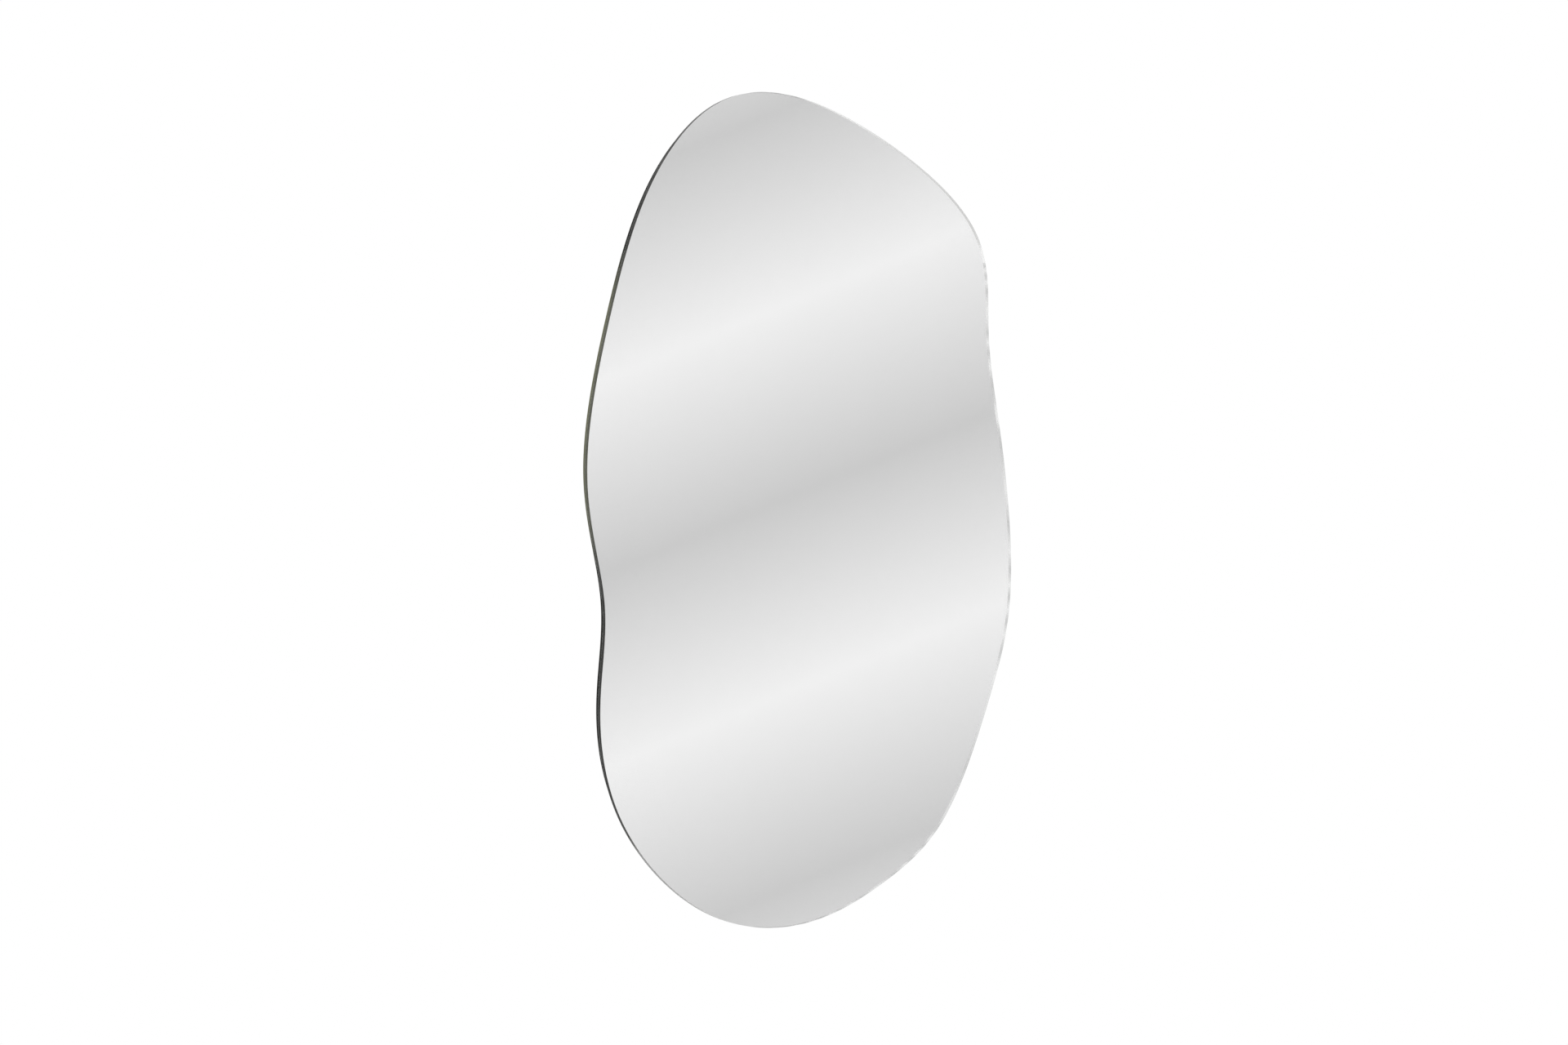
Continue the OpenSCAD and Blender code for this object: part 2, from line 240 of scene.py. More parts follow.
def new_tree(name, sizes, counts=(), others=()):
    """A Geometry Nodes tree with named inputs. Gives the tree and its inputs."""
    tree = bpy.data.node_groups.new(name, "GeometryNodeTree")
    tree.interface.new_socket("Geometry", in_out="OUTPUT", socket_type="NodeSocketGeometry")
    kinds = [("Geometry", "Geometry"), *[(label, "Float") for label in sizes],
             *[(label, "Int") for label in counts], *others]
    for label, kind in kinds:
        socket = tree.interface.new_socket(label, in_out="INPUT", socket_type="NodeSocket" + kind)
        if kind == "Float":
            socket.subtype = "DISTANCE"
    return tree, put(tree, "NodeGroupInput").outputs


def end_tree(tree, mesh, *finishes):
    """Ends a tree: plain geometry, sharp edges and its materials, each with where it goes."""
    mesh = put(tree, "GeometryNodeRealizeInstances", {"Geometry": mesh})
    mesh = put(tree, "GeometryNodeMergeByDistance", {"Geometry": mesh, "Distance": SAME_PLACE})
    mesh = put(tree, "GeometryNodeSetShadeSmooth", {"Geometry": mesh, "Shade Smooth": True})
    angle = put(tree, "GeometryNodeInputMeshEdgeAngle")
    sharp = put(tree, "FunctionNodeCompare", {"A": angle, "B": CREASE}, operation="GREATER_THAN")
    mesh = put(tree, "GeometryNodeSetShadeSmooth",
               {"Geometry": mesh, "Selection": sharp, "Shade Smooth": False}, domain="EDGE")
    for material, where in finishes:
        mesh = put(tree, "GeometryNodeSetMaterial",
                   {"Geometry": mesh, "Selection": where, "Material": material})
    put(tree, "NodeGroupOutput", {"Geometry": mesh})
    return tree


def section(tree, corners, closed=False):
    """A curve in a tree through corners, each given as X, Y and the radius that rounds it."""
    chosen = put(tree, "GeometryNodeIndexSwitch", data_type="VECTOR")
    for _ in corners[2:]:
        chosen.index_switch_items.new()
    tree.links.new(put(tree, "GeometryNodeInputIndex").outputs[0], chosen.inputs[0])
    for i, (x, y, radius) in enumerate(corners):
        corner = put(tree, "ShaderNodeCombineXYZ", {"X": x, "Y": y, "Z": radius})
        tree.links.new(corner.outputs[0], chosen.inputs[1 + i])
    line = put(tree, "GeometryNodeCurvePrimitiveLine")
    points = put(tree, "GeometryNodeResampleCurve", {"Curve": line, "Count": len(corners)})
    flat = put(tree, "ShaderNodeVectorMath", {0: chosen, 1: (1, 1, 0)}, operation="MULTIPLY")
    bent = put(tree, "GeometryNodeSetPosition", {"Geometry": points, "Position": flat})
    joined = put(tree, "GeometryNodeSetSplineCyclic", {"Geometry": bent, "Cyclic": closed})
    radii = put(tree, "ShaderNodeSeparateXYZ", {0: chosen}).outputs["Z"]
    return put(tree, "GeometryNodeFilletCurve",
               {"Curve": joined, "Count": 4, "Radius": radii, "Limit Radius": True}, mode="POLY")


def swept(tree, path, profile, shift=0.0):
    """Sweeps a profile along a path, with its X pointing to the right of it and its Y up."""
    upright = put(tree, "GeometryNodeTransform",
                  {"Geometry": profile, "Translation": (shift, 0, 0), "Scale": (1, -1, 1)})
    skin = put(tree, "GeometryNodeCurveToMesh", {"Curve": path, "Profile Curve": upright})
    return put(tree, "GeometryNodeFlipFaces", {"Mesh": skin})


def turned(tree, profile, sides):
    """Turns a profile, with its radius on X and its height on Y, about the Z axis."""
    hub = 1 * MM  # any radius does for the guide, since the profile is moved back by as much
    circle = put(tree, "GeometryNodeCurvePrimitiveCircle", {"Resolution": sides, "Radius": hub})
    skin = swept(tree, circle, profile, -hub)
    return put(tree, "GeometryNodeMergeByDistance", {"Geometry": skin, "Distance": SAME_PLACE})


def plate_tree():
    """Tree of a flat plate with the mirror's outline, from the outline's control points."""
    tree, given = new_tree("Free-form plate", ("Inset", "Front", "Thickness", "Front arris",
                                               "Back arris"), ("Points",),
                           [("Faces", "Material"), ("Edge", "Material")])
    corners = put(tree, "GeometryNodeMeshToCurve", {"Mesh": given["Geometry"]})
    spline = put(tree, "GeometryNodeCurveSplineType", {"Curve": corners}, spline_type="NURBS")
    fine = put(tree, "GeometryNodeSetSplineResolution", {"Geometry": spline, "Resolution": 96})
    outline = put(tree, "GeometryNodeResampleCurve", {"Curve": fine, "Count": given["Points"]})
    inset, front = given["Inset"], given["Front"]
    first, last = given["Front arris"], given["Back arris"]
    back = put(tree, "ShaderNodeMath", {0: front, 1: given["Thickness"]}, operation="SUBTRACT")
    levels = [(put(tree, "ShaderNodeMath", {0: inset, 1: first}), front, 0.0),
              (inset, put(tree, "ShaderNodeMath", {0: front, 1: first}, operation="SUBTRACT"), 0.0),
              (inset, put(tree, "ShaderNodeMath", {0: back, 1: last}), 0.0),
              (put(tree, "ShaderNodeMath", {0: inset, 1: last}), back, 0.0)]
    parts = [swept(tree, outline, section(tree, levels))]
    for inwards, height, _ in (levels[0], levels[3]):
        across = put(tree, "GeometryNodeInputNormal")
        shift = put(tree, "ShaderNodeVectorMath", {0: across, "Scale": inwards}, operation="SCALE")
        loop = put(tree, "GeometryNodeSetPosition", {"Geometry": outline, "Offset": shift})
        face = put(tree, "GeometryNodeFillCurve", {"Curve": loop}, mode="NGONS")
        lift = put(tree, "ShaderNodeCombineXYZ", {"Z": height})
        parts.append(put(tree, "GeometryNodeTransform", {"Geometry": face, "Translation": lift}))
    parts[2] = put(tree, "GeometryNodeFlipFaces", {"Mesh": parts[2]})
    plate = put(tree, "GeometryNodeJoinGeometry", {"Geometry": parts})
    upright = put(tree, "GeometryNodeTransform",
                  {"Geometry": plate, "Rotation": Euler((math.pi / 2, 0, 0))})
    # The edge looks sideways, and an arris or chamfer, at 45 degrees, counts as a face
    sideways = 0.5
    facing = put(tree, "ShaderNodeSeparateXYZ", {0: put(tree, "GeometryNodeInputNormal")})
    level = put(tree, "ShaderNodeMath", {0: facing.outputs["Y"]}, operation="ABSOLUTE")
    aside = put(tree, "FunctionNodeCompare", {"A": level, "B": sideways}, operation="LESS_THAN")
    return end_tree(tree, upright, (given["Faces"], True), (given["Edge"], aside))


def drilled_tree():
    """Tree that drills blind pilot holes into a board, one on each point of another mesh."""
    tree, given = new_tree("Pilot holes", ("Radius", "Depth"), (),
                           [("Places", "Object"), ("Material", "Material")])
    twice = put(tree, "ShaderNodeMath", {0: given["Depth"], 1: 2.0}, operation="MULTIPLY")
    drill = put(tree, "GeometryNodeMeshCylinder",
                {"Vertices": 32, "Radius": given["Radius"], "Depth": twice})
    places = put(tree, "GeometryNodeObjectInfo", {"Object": given["Places"]}).outputs["Geometry"]
    drills = put(tree, "GeometryNodeInstanceOnPoints",
                 {"Points": places, "Instance": drill, "Rotation": TO_WALL})
    drills = put(tree, "GeometryNodeRealizeInstances", {"Geometry": drills})
    cut = put(tree, "GeometryNodeMeshBoolean", {"Mesh 1": given["Geometry"], "Mesh 2": drills},
              operation="DIFFERENCE", solver="MANIFOLD")
    # The faces inside a hole lie near its place and deeper than it
    at = put(tree, "GeometryNodeInputPosition")
    nearest = put(tree, "GeometryNodeProximity", {"Geometry": places, "Sample Position": at},
                  target_element="POINTS")
    away = put(tree, "ShaderNodeVectorMath", {0: nearest, 1: at}, operation="SUBTRACT")
    depth = put(tree, "ShaderNodeSeparateXYZ", {0: away}).outputs["Y"]
    inside = put(tree, "FunctionNodeCompare", {"A": depth, "B": SAME_PLACE},
                 operation="GREATER_THAN")
    near = put(tree, "FunctionNodeCompare", {"A": nearest.outputs["Distance"], "B": twice},
               operation="LESS_THAN")
    bored = put(tree, "FunctionNodeBooleanMath", {0: inside, 1: near})
    return end_tree(tree, cut, (given["Material"], bored))


def strap_tree():
    """Tree of a folded strap from the centre line of its sheet, with a round end and two holes.

    The strap lies on its side, with its height above the board on X and its length on Y."""
    tree, given = new_tree("Folded strap", ("Width", "Sheet", "Length", "Hole radius",
                                            "Upper hole", "Lower hole"), (),
                           [("Place", "Vector"), ("Material", "Material")])
    path = put(tree, "GeometryNodeMeshToCurve", {"Mesh": given["Geometry"]})
    sheet = put(tree, "GeometryNodeCurvePrimitiveQuadrilateral",
                {"Width": given["Sheet"], "Height": given["Width"]})
    sheet = put(tree, "GeometryNodeFilletCurve",
                {"Curve": sheet, "Count": 3, "Radius": 0.2 * MM, "Limit Radius": True}, mode="POLY")
    folded = put(tree, "GeometryNodeCurveToMesh",
                 {"Curve": path, "Profile Curve": sheet, "Fill Caps": True})
    # A prism with the strap's round end cuts the folded sheet, a hair wider than the sheet so that
    # no two sides share a plane. It and the punches reach well through the strap.
    reach, hair = 30 * MM, 0.04 * MM
    width = put(tree, "ShaderNodeMath", {0: given["Width"], 1: hair})
    twice = put(tree, "ShaderNodeMath", {0: given["Length"], 1: 2.0}, operation="MULTIPLY")
    blank = put(tree, "GeometryNodeCurvePrimitiveQuadrilateral", {"Width": width, "Height": twice})
    blank = put(tree, "GeometryNodeFilletCurve",
                {"Curve": blank, "Count": 32, "Radius": 1.0, "Limit Radius": True}, mode="POLY")
    face = put(tree, "GeometryNodeFillCurve", {"Curve": blank}, mode="NGONS")
    prism = put(tree, "GeometryNodeExtrudeMesh", {"Mesh": face, "Offset Scale": reach,
                                                  "Individual": False})
    floor = put(tree, "GeometryNodeFlipFaces", {"Mesh": face})
    prism = put(tree, "GeometryNodeJoinGeometry", {"Geometry": [prism, floor]})
    prism = put(tree, "GeometryNodeMergeByDistance", {"Geometry": prism, "Distance": SAME_PLACE})
    prism = put(tree, "GeometryNodeTransform",
                {"Geometry": prism, "Translation": (-reach / 2, 0, 0),
                 "Rotation": Euler((0, math.pi / 2, 0))})
    mesh = put(tree, "GeometryNodeMeshBoolean", {"Mesh": [folded, prism]},
               operation="INTERSECT", solver="MANIFOLD")
    punches = []
    for label in ("Upper hole", "Lower hole"):
        down = put(tree, "ShaderNodeMath", {0: given[label], 1: -1.0}, operation="MULTIPLY")
        punch = put(tree, "GeometryNodeMeshCylinder",
                    {"Vertices": 48, "Radius": given["Hole radius"], "Depth": reach})
        punches.append(put(tree, "GeometryNodeTransform",
                           {"Geometry": punch, "Rotation": Euler((0, math.pi / 2, 0)),
                            "Translation": put(tree, "ShaderNodeCombineXYZ", {"Y": down})}))
    mesh = put(tree, "GeometryNodeMeshBoolean", {"Mesh 1": mesh, "Mesh 2": punches},
               operation="DIFFERENCE", solver="MANIFOLD")
    placed = put(tree, "GeometryNodeTransform",
                 {"Geometry": mesh, "Rotation": Euler((math.pi / 2, 0, math.pi / 2)),
                  "Translation": given["Place"]})
    return end_tree(tree, placed, (given["Material"], True))


def wire_tree():
    """Tree of a closed ring of round wire along its centre line."""
    tree, given = new_tree("Bent wire", ("Radius",), ("Sides",), [("Material", "Material")])
    path = put(tree, "GeometryNodeMeshToCurve", {"Mesh": given["Geometry"]})
    circle = put(tree, "GeometryNodeCurvePrimitiveCircle",
                 {"Resolution": given["Sides"], "Radius": given["Radius"]})
    ring = put(tree, "GeometryNodeCurveToMesh", {"Curve": path, "Profile Curve": circle})
    return end_tree(tree, ring, (given["Material"], True))


def screw_tree():
    """Tree of pan head wood screws, each with the seat of its head on a point of the mesh."""
    tree, given = new_tree("Pan head screws", ("Shank diameter", "Length", "Head diameter",
                                               "Head height", "Pitch"), ("Seed",),
                           [("Material", "Material")])
    shank, long, height = given["Shank diameter"], given["Length"], given["Head height"]
    inside = put(tree, "ShaderNodeMath", {0: height, 1: 2.0}, operation="DIVIDE")
    depth = put(tree, "ShaderNodeMath", {0: long, 1: inside})
    rod = put(tree, "GeometryNodeMeshCylinder",
              {"Vertices": 28, "Side Segments": 96, "Radius": 1.0, "Depth": depth})
    at = put(tree, "ShaderNodeSeparateXYZ", {0: put(tree, "GeometryNodeInputPosition")})
    # Depth counted from the tip, and where the thread's ridge lies at that depth
    lift = put(tree, "ShaderNodeMath", {0: depth, 1: 2.0}, operation="DIVIDE")
    from_tip = put(tree, "ShaderNodeMath", {0: at.outputs["Z"], 1: lift})
    turns = put(tree, "ShaderNodeMath", {0: from_tip, 1: given["Pitch"]}, operation="DIVIDE")
    angle = put(tree, "ShaderNodeMath", {0: at.outputs["Y"], 1: at.outputs["X"]},
                operation="ARCTAN2")
    angle = put(tree, "ShaderNodeMath", {0: angle, 1: 2 * math.pi}, operation="DIVIDE")
    phase = put(tree, "ShaderNodeMath", {0: turns, 1: angle}, operation="SUBTRACT")
    ridge = put(tree, "ShaderNodeMath", {0: phase, 1: 0.5}, operation="PINGPONG")
    # Half a turn leads from the middle of the groove past the ridge's foot to its crest. The radii
    # of the core, the crest and the plain neck are shares of the shank's diameter
    foot, core, crest, neck_share = 0.28, 0.36, 0.5, 0.4
    neck_length = 1.5 * MM
    ridge = put(tree, "ShaderNodeMapRange", {"Value": ridge, "From Min": foot, "From Max": 0.5,
                                             "To Min": core, "To Max": crest})
    neck = put(tree, "ShaderNodeMath", {0: long, 1: neck_length}, operation="SUBTRACT")
    plain = put(tree, "FunctionNodeCompare", {"A": from_tip, "B": neck}, operation="GREATER_THAN")
    share = put(tree, "GeometryNodeSwitch", {"Switch": plain, "False": ridge, "True": neck_share},
                input_type="FLOAT")
    tip = put(tree, "ShaderNodeMapRange", {"Value": from_tip, "From Max": shank})
    radius = put(tree, "ShaderNodeMath", {0: share, 1: shank}, operation="MULTIPLY")
    radius = put(tree, "ShaderNodeMath", {0: radius, 1: tip}, operation="MULTIPLY")
    down = put(tree, "ShaderNodeMath", {0: from_tip, 1: long}, operation="SUBTRACT")
    spot = put(tree, "ShaderNodeCombineXYZ", {
        "X": put(tree, "ShaderNodeMath", {0: at.outputs["X"], 1: radius}, operation="MULTIPLY"),
        "Y": put(tree, "ShaderNodeMath", {0: at.outputs["Y"], 1: radius}, operation="MULTIPLY"),
        "Z": down})
    rod = put(tree, "GeometryNodeSetPosition", {"Geometry": rod, "Position": spot})
    rod = put(tree, "GeometryNodeMergeByDistance", {"Geometry": rod, "Distance": SAME_PLACE})
    rim = put(tree, "ShaderNodeMath", {0: given["Head diameter"], 1: 2.0}, operation="DIVIDE")
    # The crown's rounding is a share of the head's height, and the lower edge is barely softened
    domed, soft = 0.65, 0.12 * MM
    crown = put(tree, "ShaderNodeMath", {0: height, 1: domed}, operation="MULTIPLY")
    head = turned(tree, section(tree, [(0.0, 0.0, 0.0), (rim, 0.0, soft),
                                       (rim, height, crown), (0.0, height, 0.0)]), sides=56)
    whole = put(tree, "GeometryNodeMeshBoolean", {"Mesh": [head, rod]},
                operation="UNION", solver="MANIFOLD")
    # Cross recess, whose wings narrow towards the bottom. A square cone as deep as the recess, and
    # a little over it, is stretched along a wing and pressed flat across it
    recess, over = 1.3 * MM, 0.4 * MM
    along, across = 1.9, 0.42
    bottom = put(tree, "ShaderNodeMath", {0: height, 1: recess}, operation="SUBTRACT")
    wing = put(tree, "GeometryNodeMeshCone", {"Vertices": 4, "Radius Top": 1.6 * MM,
                                              "Radius Bottom": 0.75 * MM, "Depth": recess + over})
    wing = put(tree, "GeometryNodeTransform",
               {"Geometry": wing, "Rotation": Euler((0, 0, math.pi / 4))})
    wings = [put(tree, "GeometryNodeTransform",
                 {"Geometry": wing, "Scale": scale,
                  "Translation": put(tree, "ShaderNodeCombineXYZ", {"Z": bottom})})
             for scale in ((along, across, 1), (across, along, 1))]
    whole = put(tree, "GeometryNodeMeshBoolean", {"Mesh 1": whole, "Mesh 2": wings},
                operation="DIFFERENCE", solver="MANIFOLD")
    screws = put(tree, "GeometryNodeInstanceOnPoints",
                 {"Points": given["Geometry"], "Instance": whole, "Rotation": TO_WALL})
    twist = put(tree, "FunctionNodeRandomValue",
                {"Min": (0, 0, 0), "Max": (0, 0, math.pi / 2), "Seed": given["Seed"]},
                data_type="FLOAT_VECTOR")
    screws = put(tree, "GeometryNodeRotateInstances", {"Instances": screws, "Rotation": twist})
    return end_tree(tree, screws, (given["Material"], True))


def washer_tree():
    """Tree of flat washers, each lying on a point of the mesh."""
    tree, given = new_tree("Washers", ("Outer radius", "Hole radius", "Thickness"), (),
                           [("Material", "Material")])
    soft = 0.12 * MM
    corners = [(given["Hole radius"], 0.0, soft), (given["Outer radius"], 0.0, soft),
               (given["Outer radius"], given["Thickness"], soft),
               (given["Hole radius"], given["Thickness"], soft)]
    washer = turned(tree, section(tree, corners, True), sides=56)
    washers = put(tree, "GeometryNodeInstanceOnPoints",
                  {"Points": given["Geometry"], "Instance": washer, "Rotation": TO_WALL})
    return end_tree(tree, washers, (given["Material"], True))


def bumper_tree():
    """Tree of rubber bumpers with a recess for washer and screw, each standing on a point."""
    tree, given = new_tree("Bumpers", ("Base radius", "Top radius", "Height", "Rim radius",
                                       "Recess radius", "Floor", "Hole radius"), (),
                           [("Material", "Material")])
    soft = 0.25 * MM
    corners = [(given["Hole radius"], 0.0, 0.0), (given["Base radius"], 0.0, soft),
               (given["Top radius"], given["Height"], given["Rim radius"]),
               (given["Recess radius"], given["Height"], soft),
               (given["Recess radius"], given["Floor"], soft),
               (given["Hole radius"], given["Floor"], soft)]
    bumper = turned(tree, section(tree, corners, True), sides=72)
    bumpers = put(tree, "GeometryNodeInstanceOnPoints",
                  {"Points": given["Geometry"], "Instance": bumper, "Rotation": TO_WALL})
    return end_tree(tree, bumpers, (given["Material"], True))


def base_mesh(name, points, joined=False, closed=False):
    """A mesh of points only, or of points joined in a line or a ring."""
    mesh = bpy.data.meshes.new(name)
    count = len(points)
    edges = [(k, (k + 1) % count) for k in range(count if closed else count - 1)] if joined else []
    mesh.from_pydata(points, edges, [])
    return mesh


def grow(name, base, *steps):
    """A plain mesh piece from a base mesh and one or more trees, each with its inputs."""
    piece = bpy.data.objects.new(name, base)
    bpy.context.scene.collection.objects.link(piece)
    for tree, values in steps:
        modifier = piece.modifiers.new(tree.name, "NODES")
        modifier.node_group = tree
        for socket in tree.interface.items_tree:
            if socket.name in values:
                modifier[socket.identifier] = values[socket.name]
    view = bpy.context.evaluated_depsgraph_get()
    mesh = bpy.data.meshes.new_from_object(piece.evaluated_get(view))
    if not mesh.polygons:
        raise RuntimeError(f"{name} came out empty")
    piece.modifiers.clear()
    piece.data = mesh
    mesh.name = name
    bpy.data.meshes.remove(base)
    used = {polygon.material_index for polygon in mesh.polygons}
    for index in reversed(range(len(mesh.materials))):
        if index not in used:
            mesh.materials.pop(index=index)
    return piece


def settle(piece, body, slot, *nodes):
    """Lets a finished piece stand for CAD nodes and ride on a body."""
    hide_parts(*nodes)
    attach(piece, body)


def outline(lift):
    """The outline's control points in metres, stretched so that the B-spline fills the pane, and
    raised by a height."""
    axes = []
    steps = 64  # from one control point to the next, to find how far the spline reaches
    for axis, (low, high) in enumerate(((GLASS[0].x, GLASS[1].x), (GLASS[0].z, GLASS[1].z))):
        values = [point[axis] for point in CONTROL]
        reach = []
        for i in range(len(values)):
            a, b, c, d = (values[(i + k) % len(values)] for k in (-1, 0, 1, 2))
            for t in (step / steps for step in range(steps)):
                s = 1 - t
                reach.append((s ** 3 * a + (3 * t ** 3 - 6 * t ** 2 + 4) * b
                              + (3 * s ** 3 - 6 * s ** 2 + 4) * c + t ** 3 * d) / 6)
        stretch = (high - low) / (max(reach) - min(reach))
        axes.append([low + (value - min(reach)) * stretch for value in values])
    return [(x, z + lift, 0.0) for x, z in zip(*axes)]


def plate(name, box, inset, arrises, finishes, *steps):
    """A plate with the mirror's outline, as thick and as high up as the CAD piece's box."""
    tree = bpy.data.node_groups.get("Free-form plate") or plate_tree()
    corners = outline(middle(box).z - middle(GLASS).z)
    sizes = {"Points": bpy.context.scene.mirror_glass.points, "Inset": inset,
             "Front": -box[0].y, "Thickness": thickness(box),
             "Front arris": arrises[0], "Back arris": arrises[1],
             "Faces": finishes[0], "Edge": finishes[1]}
    return grow(name, base_mesh(name, corners, True, True), (tree, sizes), *steps)


def hanger_screw_places(sizes, y):
    """Where the four hanger screws go, at a distance from the wall."""
    head = bpy.context.scene.mirror_screw.head
    low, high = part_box("hanger_screws_left")
    return [(side * sizes.hook_gap / 2, y, z) for side in SIDES.values()
            for z in (high.z - head / 2, low.z + head / 2)]


def bumper_places(y):
    """Where the four bumpers stand, at a distance from the wall."""
    return [(middle(box).x, y, middle(box).z) for box in BUMPERS]


def bar_height(sizes):
    """Height of the rings' straight bars in the scene."""
    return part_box("hanger_strap_left")[1].z - sizes.sheet - sizes.wire / 2 - sizes.fit


# Materials

def new_finish(name):
    """A material with an empty tree, and the object's own coordinates in that tree."""
    material = bpy.data.materials.new(name)
    material.use_nodes = True
    material.node_tree.nodes.clear()
    place = put(material.node_tree, "ShaderNodeTexCoord").outputs["Object"]
    return material, material.node_tree, place


def end_finish(material, **inputs):
    """Ends a material with its shader, whose inputs are given with _ for each space."""
    links = {name.replace("_", " "): value for name, value in inputs.items()}
    shader = put(material.node_tree, "ShaderNodeBsdfPrincipled", links)
    put(material.node_tree, "ShaderNodeOutputMaterial", {"Surface": shader})
    return material


def rim_stretch(tree, place, right, up, full, none):
    """A material's factor for a stretch of the rim: 1 in it, and fading to 0 beyond it."""
    point = (GLASS[0].x + right, GLASS[0].y, GLASS[0].z + up)
    away = put(tree, "ShaderNodeVectorMath", {0: place, 1: point}, operation="DISTANCE")
    return put(tree, "ShaderNodeMapRange",
               {"Value": away.outputs["Value"], "From Min": full, "From Max": none,
                "To Min": 1.0, "To Max": 0.0}, interpolation_type="SMOOTHSTEP")


def float_glass(sizes):
    """Clear float glass, floated flat on tin: nearly colourless, hard and shiny, with draw lines
    up the pane that are too faint to bend what it mirrors."""
    material, tree, place = new_finish("Clear float glass")
    drawn = put(tree, "ShaderNodeMapping",
                {"Vector": place, "Scale": (1 / (60 * MM), 1 / (60 * MM), 1 / (900 * MM))})
    lines = put(tree, "ShaderNodeTexNoise", {"Vector": drawn, "Scale": 1.0, "Detail": 1.0})
    relief = put(tree, "ShaderNodeBump", {"Height": lines, "Distance": 0.002 * MM})
    tone = put(tree, "ShaderNodeMix", {"Factor": lines, "A": sizes.glass,
                                       "B": shade(sizes.glass, 0.994)}, data_type="RGBA")
    return end_finish(material, Base_Color=tone, Roughness=0.0, IOR=1.52,
                      Transmission_Weight=1.0, Normal=relief)


def polished_edge(sizes):
    """Glass edge ground on a wheel and then polished. From outside it shows the dark depth of the
    pane under an olive haze, and from inside it mirrors what the glass shows beside it. The haze is
    made stronger in the middle of the left side as a painted sheen, and at the lower left, where it
    is colourless, as a painted highlight that pales the edge. The wheel leaves fine lines along the
    edge, drawn 0.4 mm apart, coarser than real ones."""
    material, tree, place = new_finish("Ground and polished glass edge")
    ground = put(tree, "ShaderNodeMapping",
                 {"Vector": place, "Scale": (1 / (45 * MM), 1 / (0.4 * MM), 1 / (45 * MM))})
    lines = put(tree, "ShaderNodeTexNoise", {"Vector": ground, "Scale": 1.0, "Detail": 2.0})
    depth = put(tree, "ShaderNodeTexNoise", {"Vector": place, "Scale": 1 / (70 * MM)})
    tone = put(tree, "ShaderNodeMix", {"Factor": depth, "A": shade(sizes.edge, 0.85),
                                       "B": shade(sizes.edge, 1.2)}, data_type="RGBA")
    gloss = put(tree, "ShaderNodeMapRange", {"Value": lines, "To Min": 0.01, "To Max": 0.06})
    relief = put(tree, "ShaderNodeBump", {"Height": lines, "Distance": 0.0005 * MM})
    # Painted light: the haze is strengthened over the middle of the left side as painted sheen, and
    # at the lower left as a painted highlight
    low = rim_stretch(tree, place, *HIGHLIGHT_LOWER_LEFT)
    haze = put(tree, "ShaderNodeMath", {0: rim_stretch(tree, place, *SHEEN_LEFT_MIDDLE), 1: low},
               operation="MAXIMUM")
    clear = put(tree, "ShaderNodeMapRange", {"Value": haze, "To Min": 0.97, "To Max": 0.65})
    # At the lower left the haze turns colourless, a painted highlight that pales the edge
    tone = put(tree, "ShaderNodeMix", {"Factor": low, "A": tone, "B": sizes.glass},
               data_type="RGBA")
    return end_finish(material, Base_Color=tone, Roughness=gloss, IOR=1.52,
                      Transmission_Weight=clear, Normal=relief)


def silver_layer(sizes):
    """Silver laid down on the glass from solution: it copies the glass, so it mirrors as evenly
    as the glass is flat, with a barely uneven tone over the pane."""
    material, tree, place = new_finish("Silver on glass")
    cloud = put(tree, "ShaderNodeTexNoise", {"Vector": place, "Scale": 1 / (260 * MM)})
    tone = put(tree, "ShaderNodeMix", {"Factor": cloud, "A": sizes.silver,
                                       "B": shade(sizes.silver, 0.985)}, data_type="RGBA")
    return end_finish(material, Base_Color=tone, Metallic=1.0, Roughness=0.0)


def back_paint(sizes):
    """Protective mirror paint, curtain coated and baked: an even grey-green satin coat that flows
    out to a soft orange peel."""
    material, tree, place = new_finish("Baked mirror back paint")
    peel = put(tree, "ShaderNodeTexNoise", {"Vector": place, "Scale": 1 / (1.4 * MM)})
    cloud = put(tree, "ShaderNodeTexNoise", {"Vector": place, "Scale": 1 / (18 * MM)})
    tone = put(tree, "ShaderNodeMix", {"Factor": cloud, "A": shade(sizes.paint, 0.9),
                                       "B": shade(sizes.paint, 1.1)}, data_type="RGBA")
    relief = put(tree, "ShaderNodeBump", {"Height": peel, "Distance": 0.03 * MM})
    return end_finish(material, Base_Color=tone, Roughness=0.45, Normal=relief)


def splinter_film(sizes):
    """Embossed polyethylene film, laminated on with a roller: milky and half matt, with a diamond
    emboss 2.5 mm wide and softly uneven where its glue has wetted the paint."""
    material, tree, place = new_finish("Embossed polyethylene film")
    ridges = []
    for turn in (45, -45):
        across = put(tree, "ShaderNodeMapping",
                     {"Vector": place, "Rotation": (0, math.radians(turn), 0)})
        # A wave of scale 1 repeats every pi / 10
        ridges.append(put(tree, "ShaderNodeTexWave", {"Vector": across,
                                                      "Scale": math.pi / 10 / (2.5 * MM)}))
    emboss = put(tree, "ShaderNodeMath", {0: ridges[0].outputs["Fac"], 1: ridges[1].outputs["Fac"]},
                 operation="MAXIMUM")
    glue = put(tree, "ShaderNodeTexNoise", {"Vector": place, "Scale": 1 / (22 * MM), "Detail": 4.0})
    tone = put(tree, "ShaderNodeMix", {"Factor": glue, "A": shade(sizes.film, 0.86),
                                       "B": shade(sizes.film, 1.12)}, data_type="RGBA")
    gloss = put(tree, "ShaderNodeMapRange", {"Value": glue, "To Min": 0.32, "To Max": 0.55})
    relief = put(tree, "ShaderNodeBump", {"Height": emboss, "Distance": 0.06 * MM,
                                          "Strength": 0.7})
    return end_finish(material, Base_Color=tone, Roughness=gloss, Normal=relief)


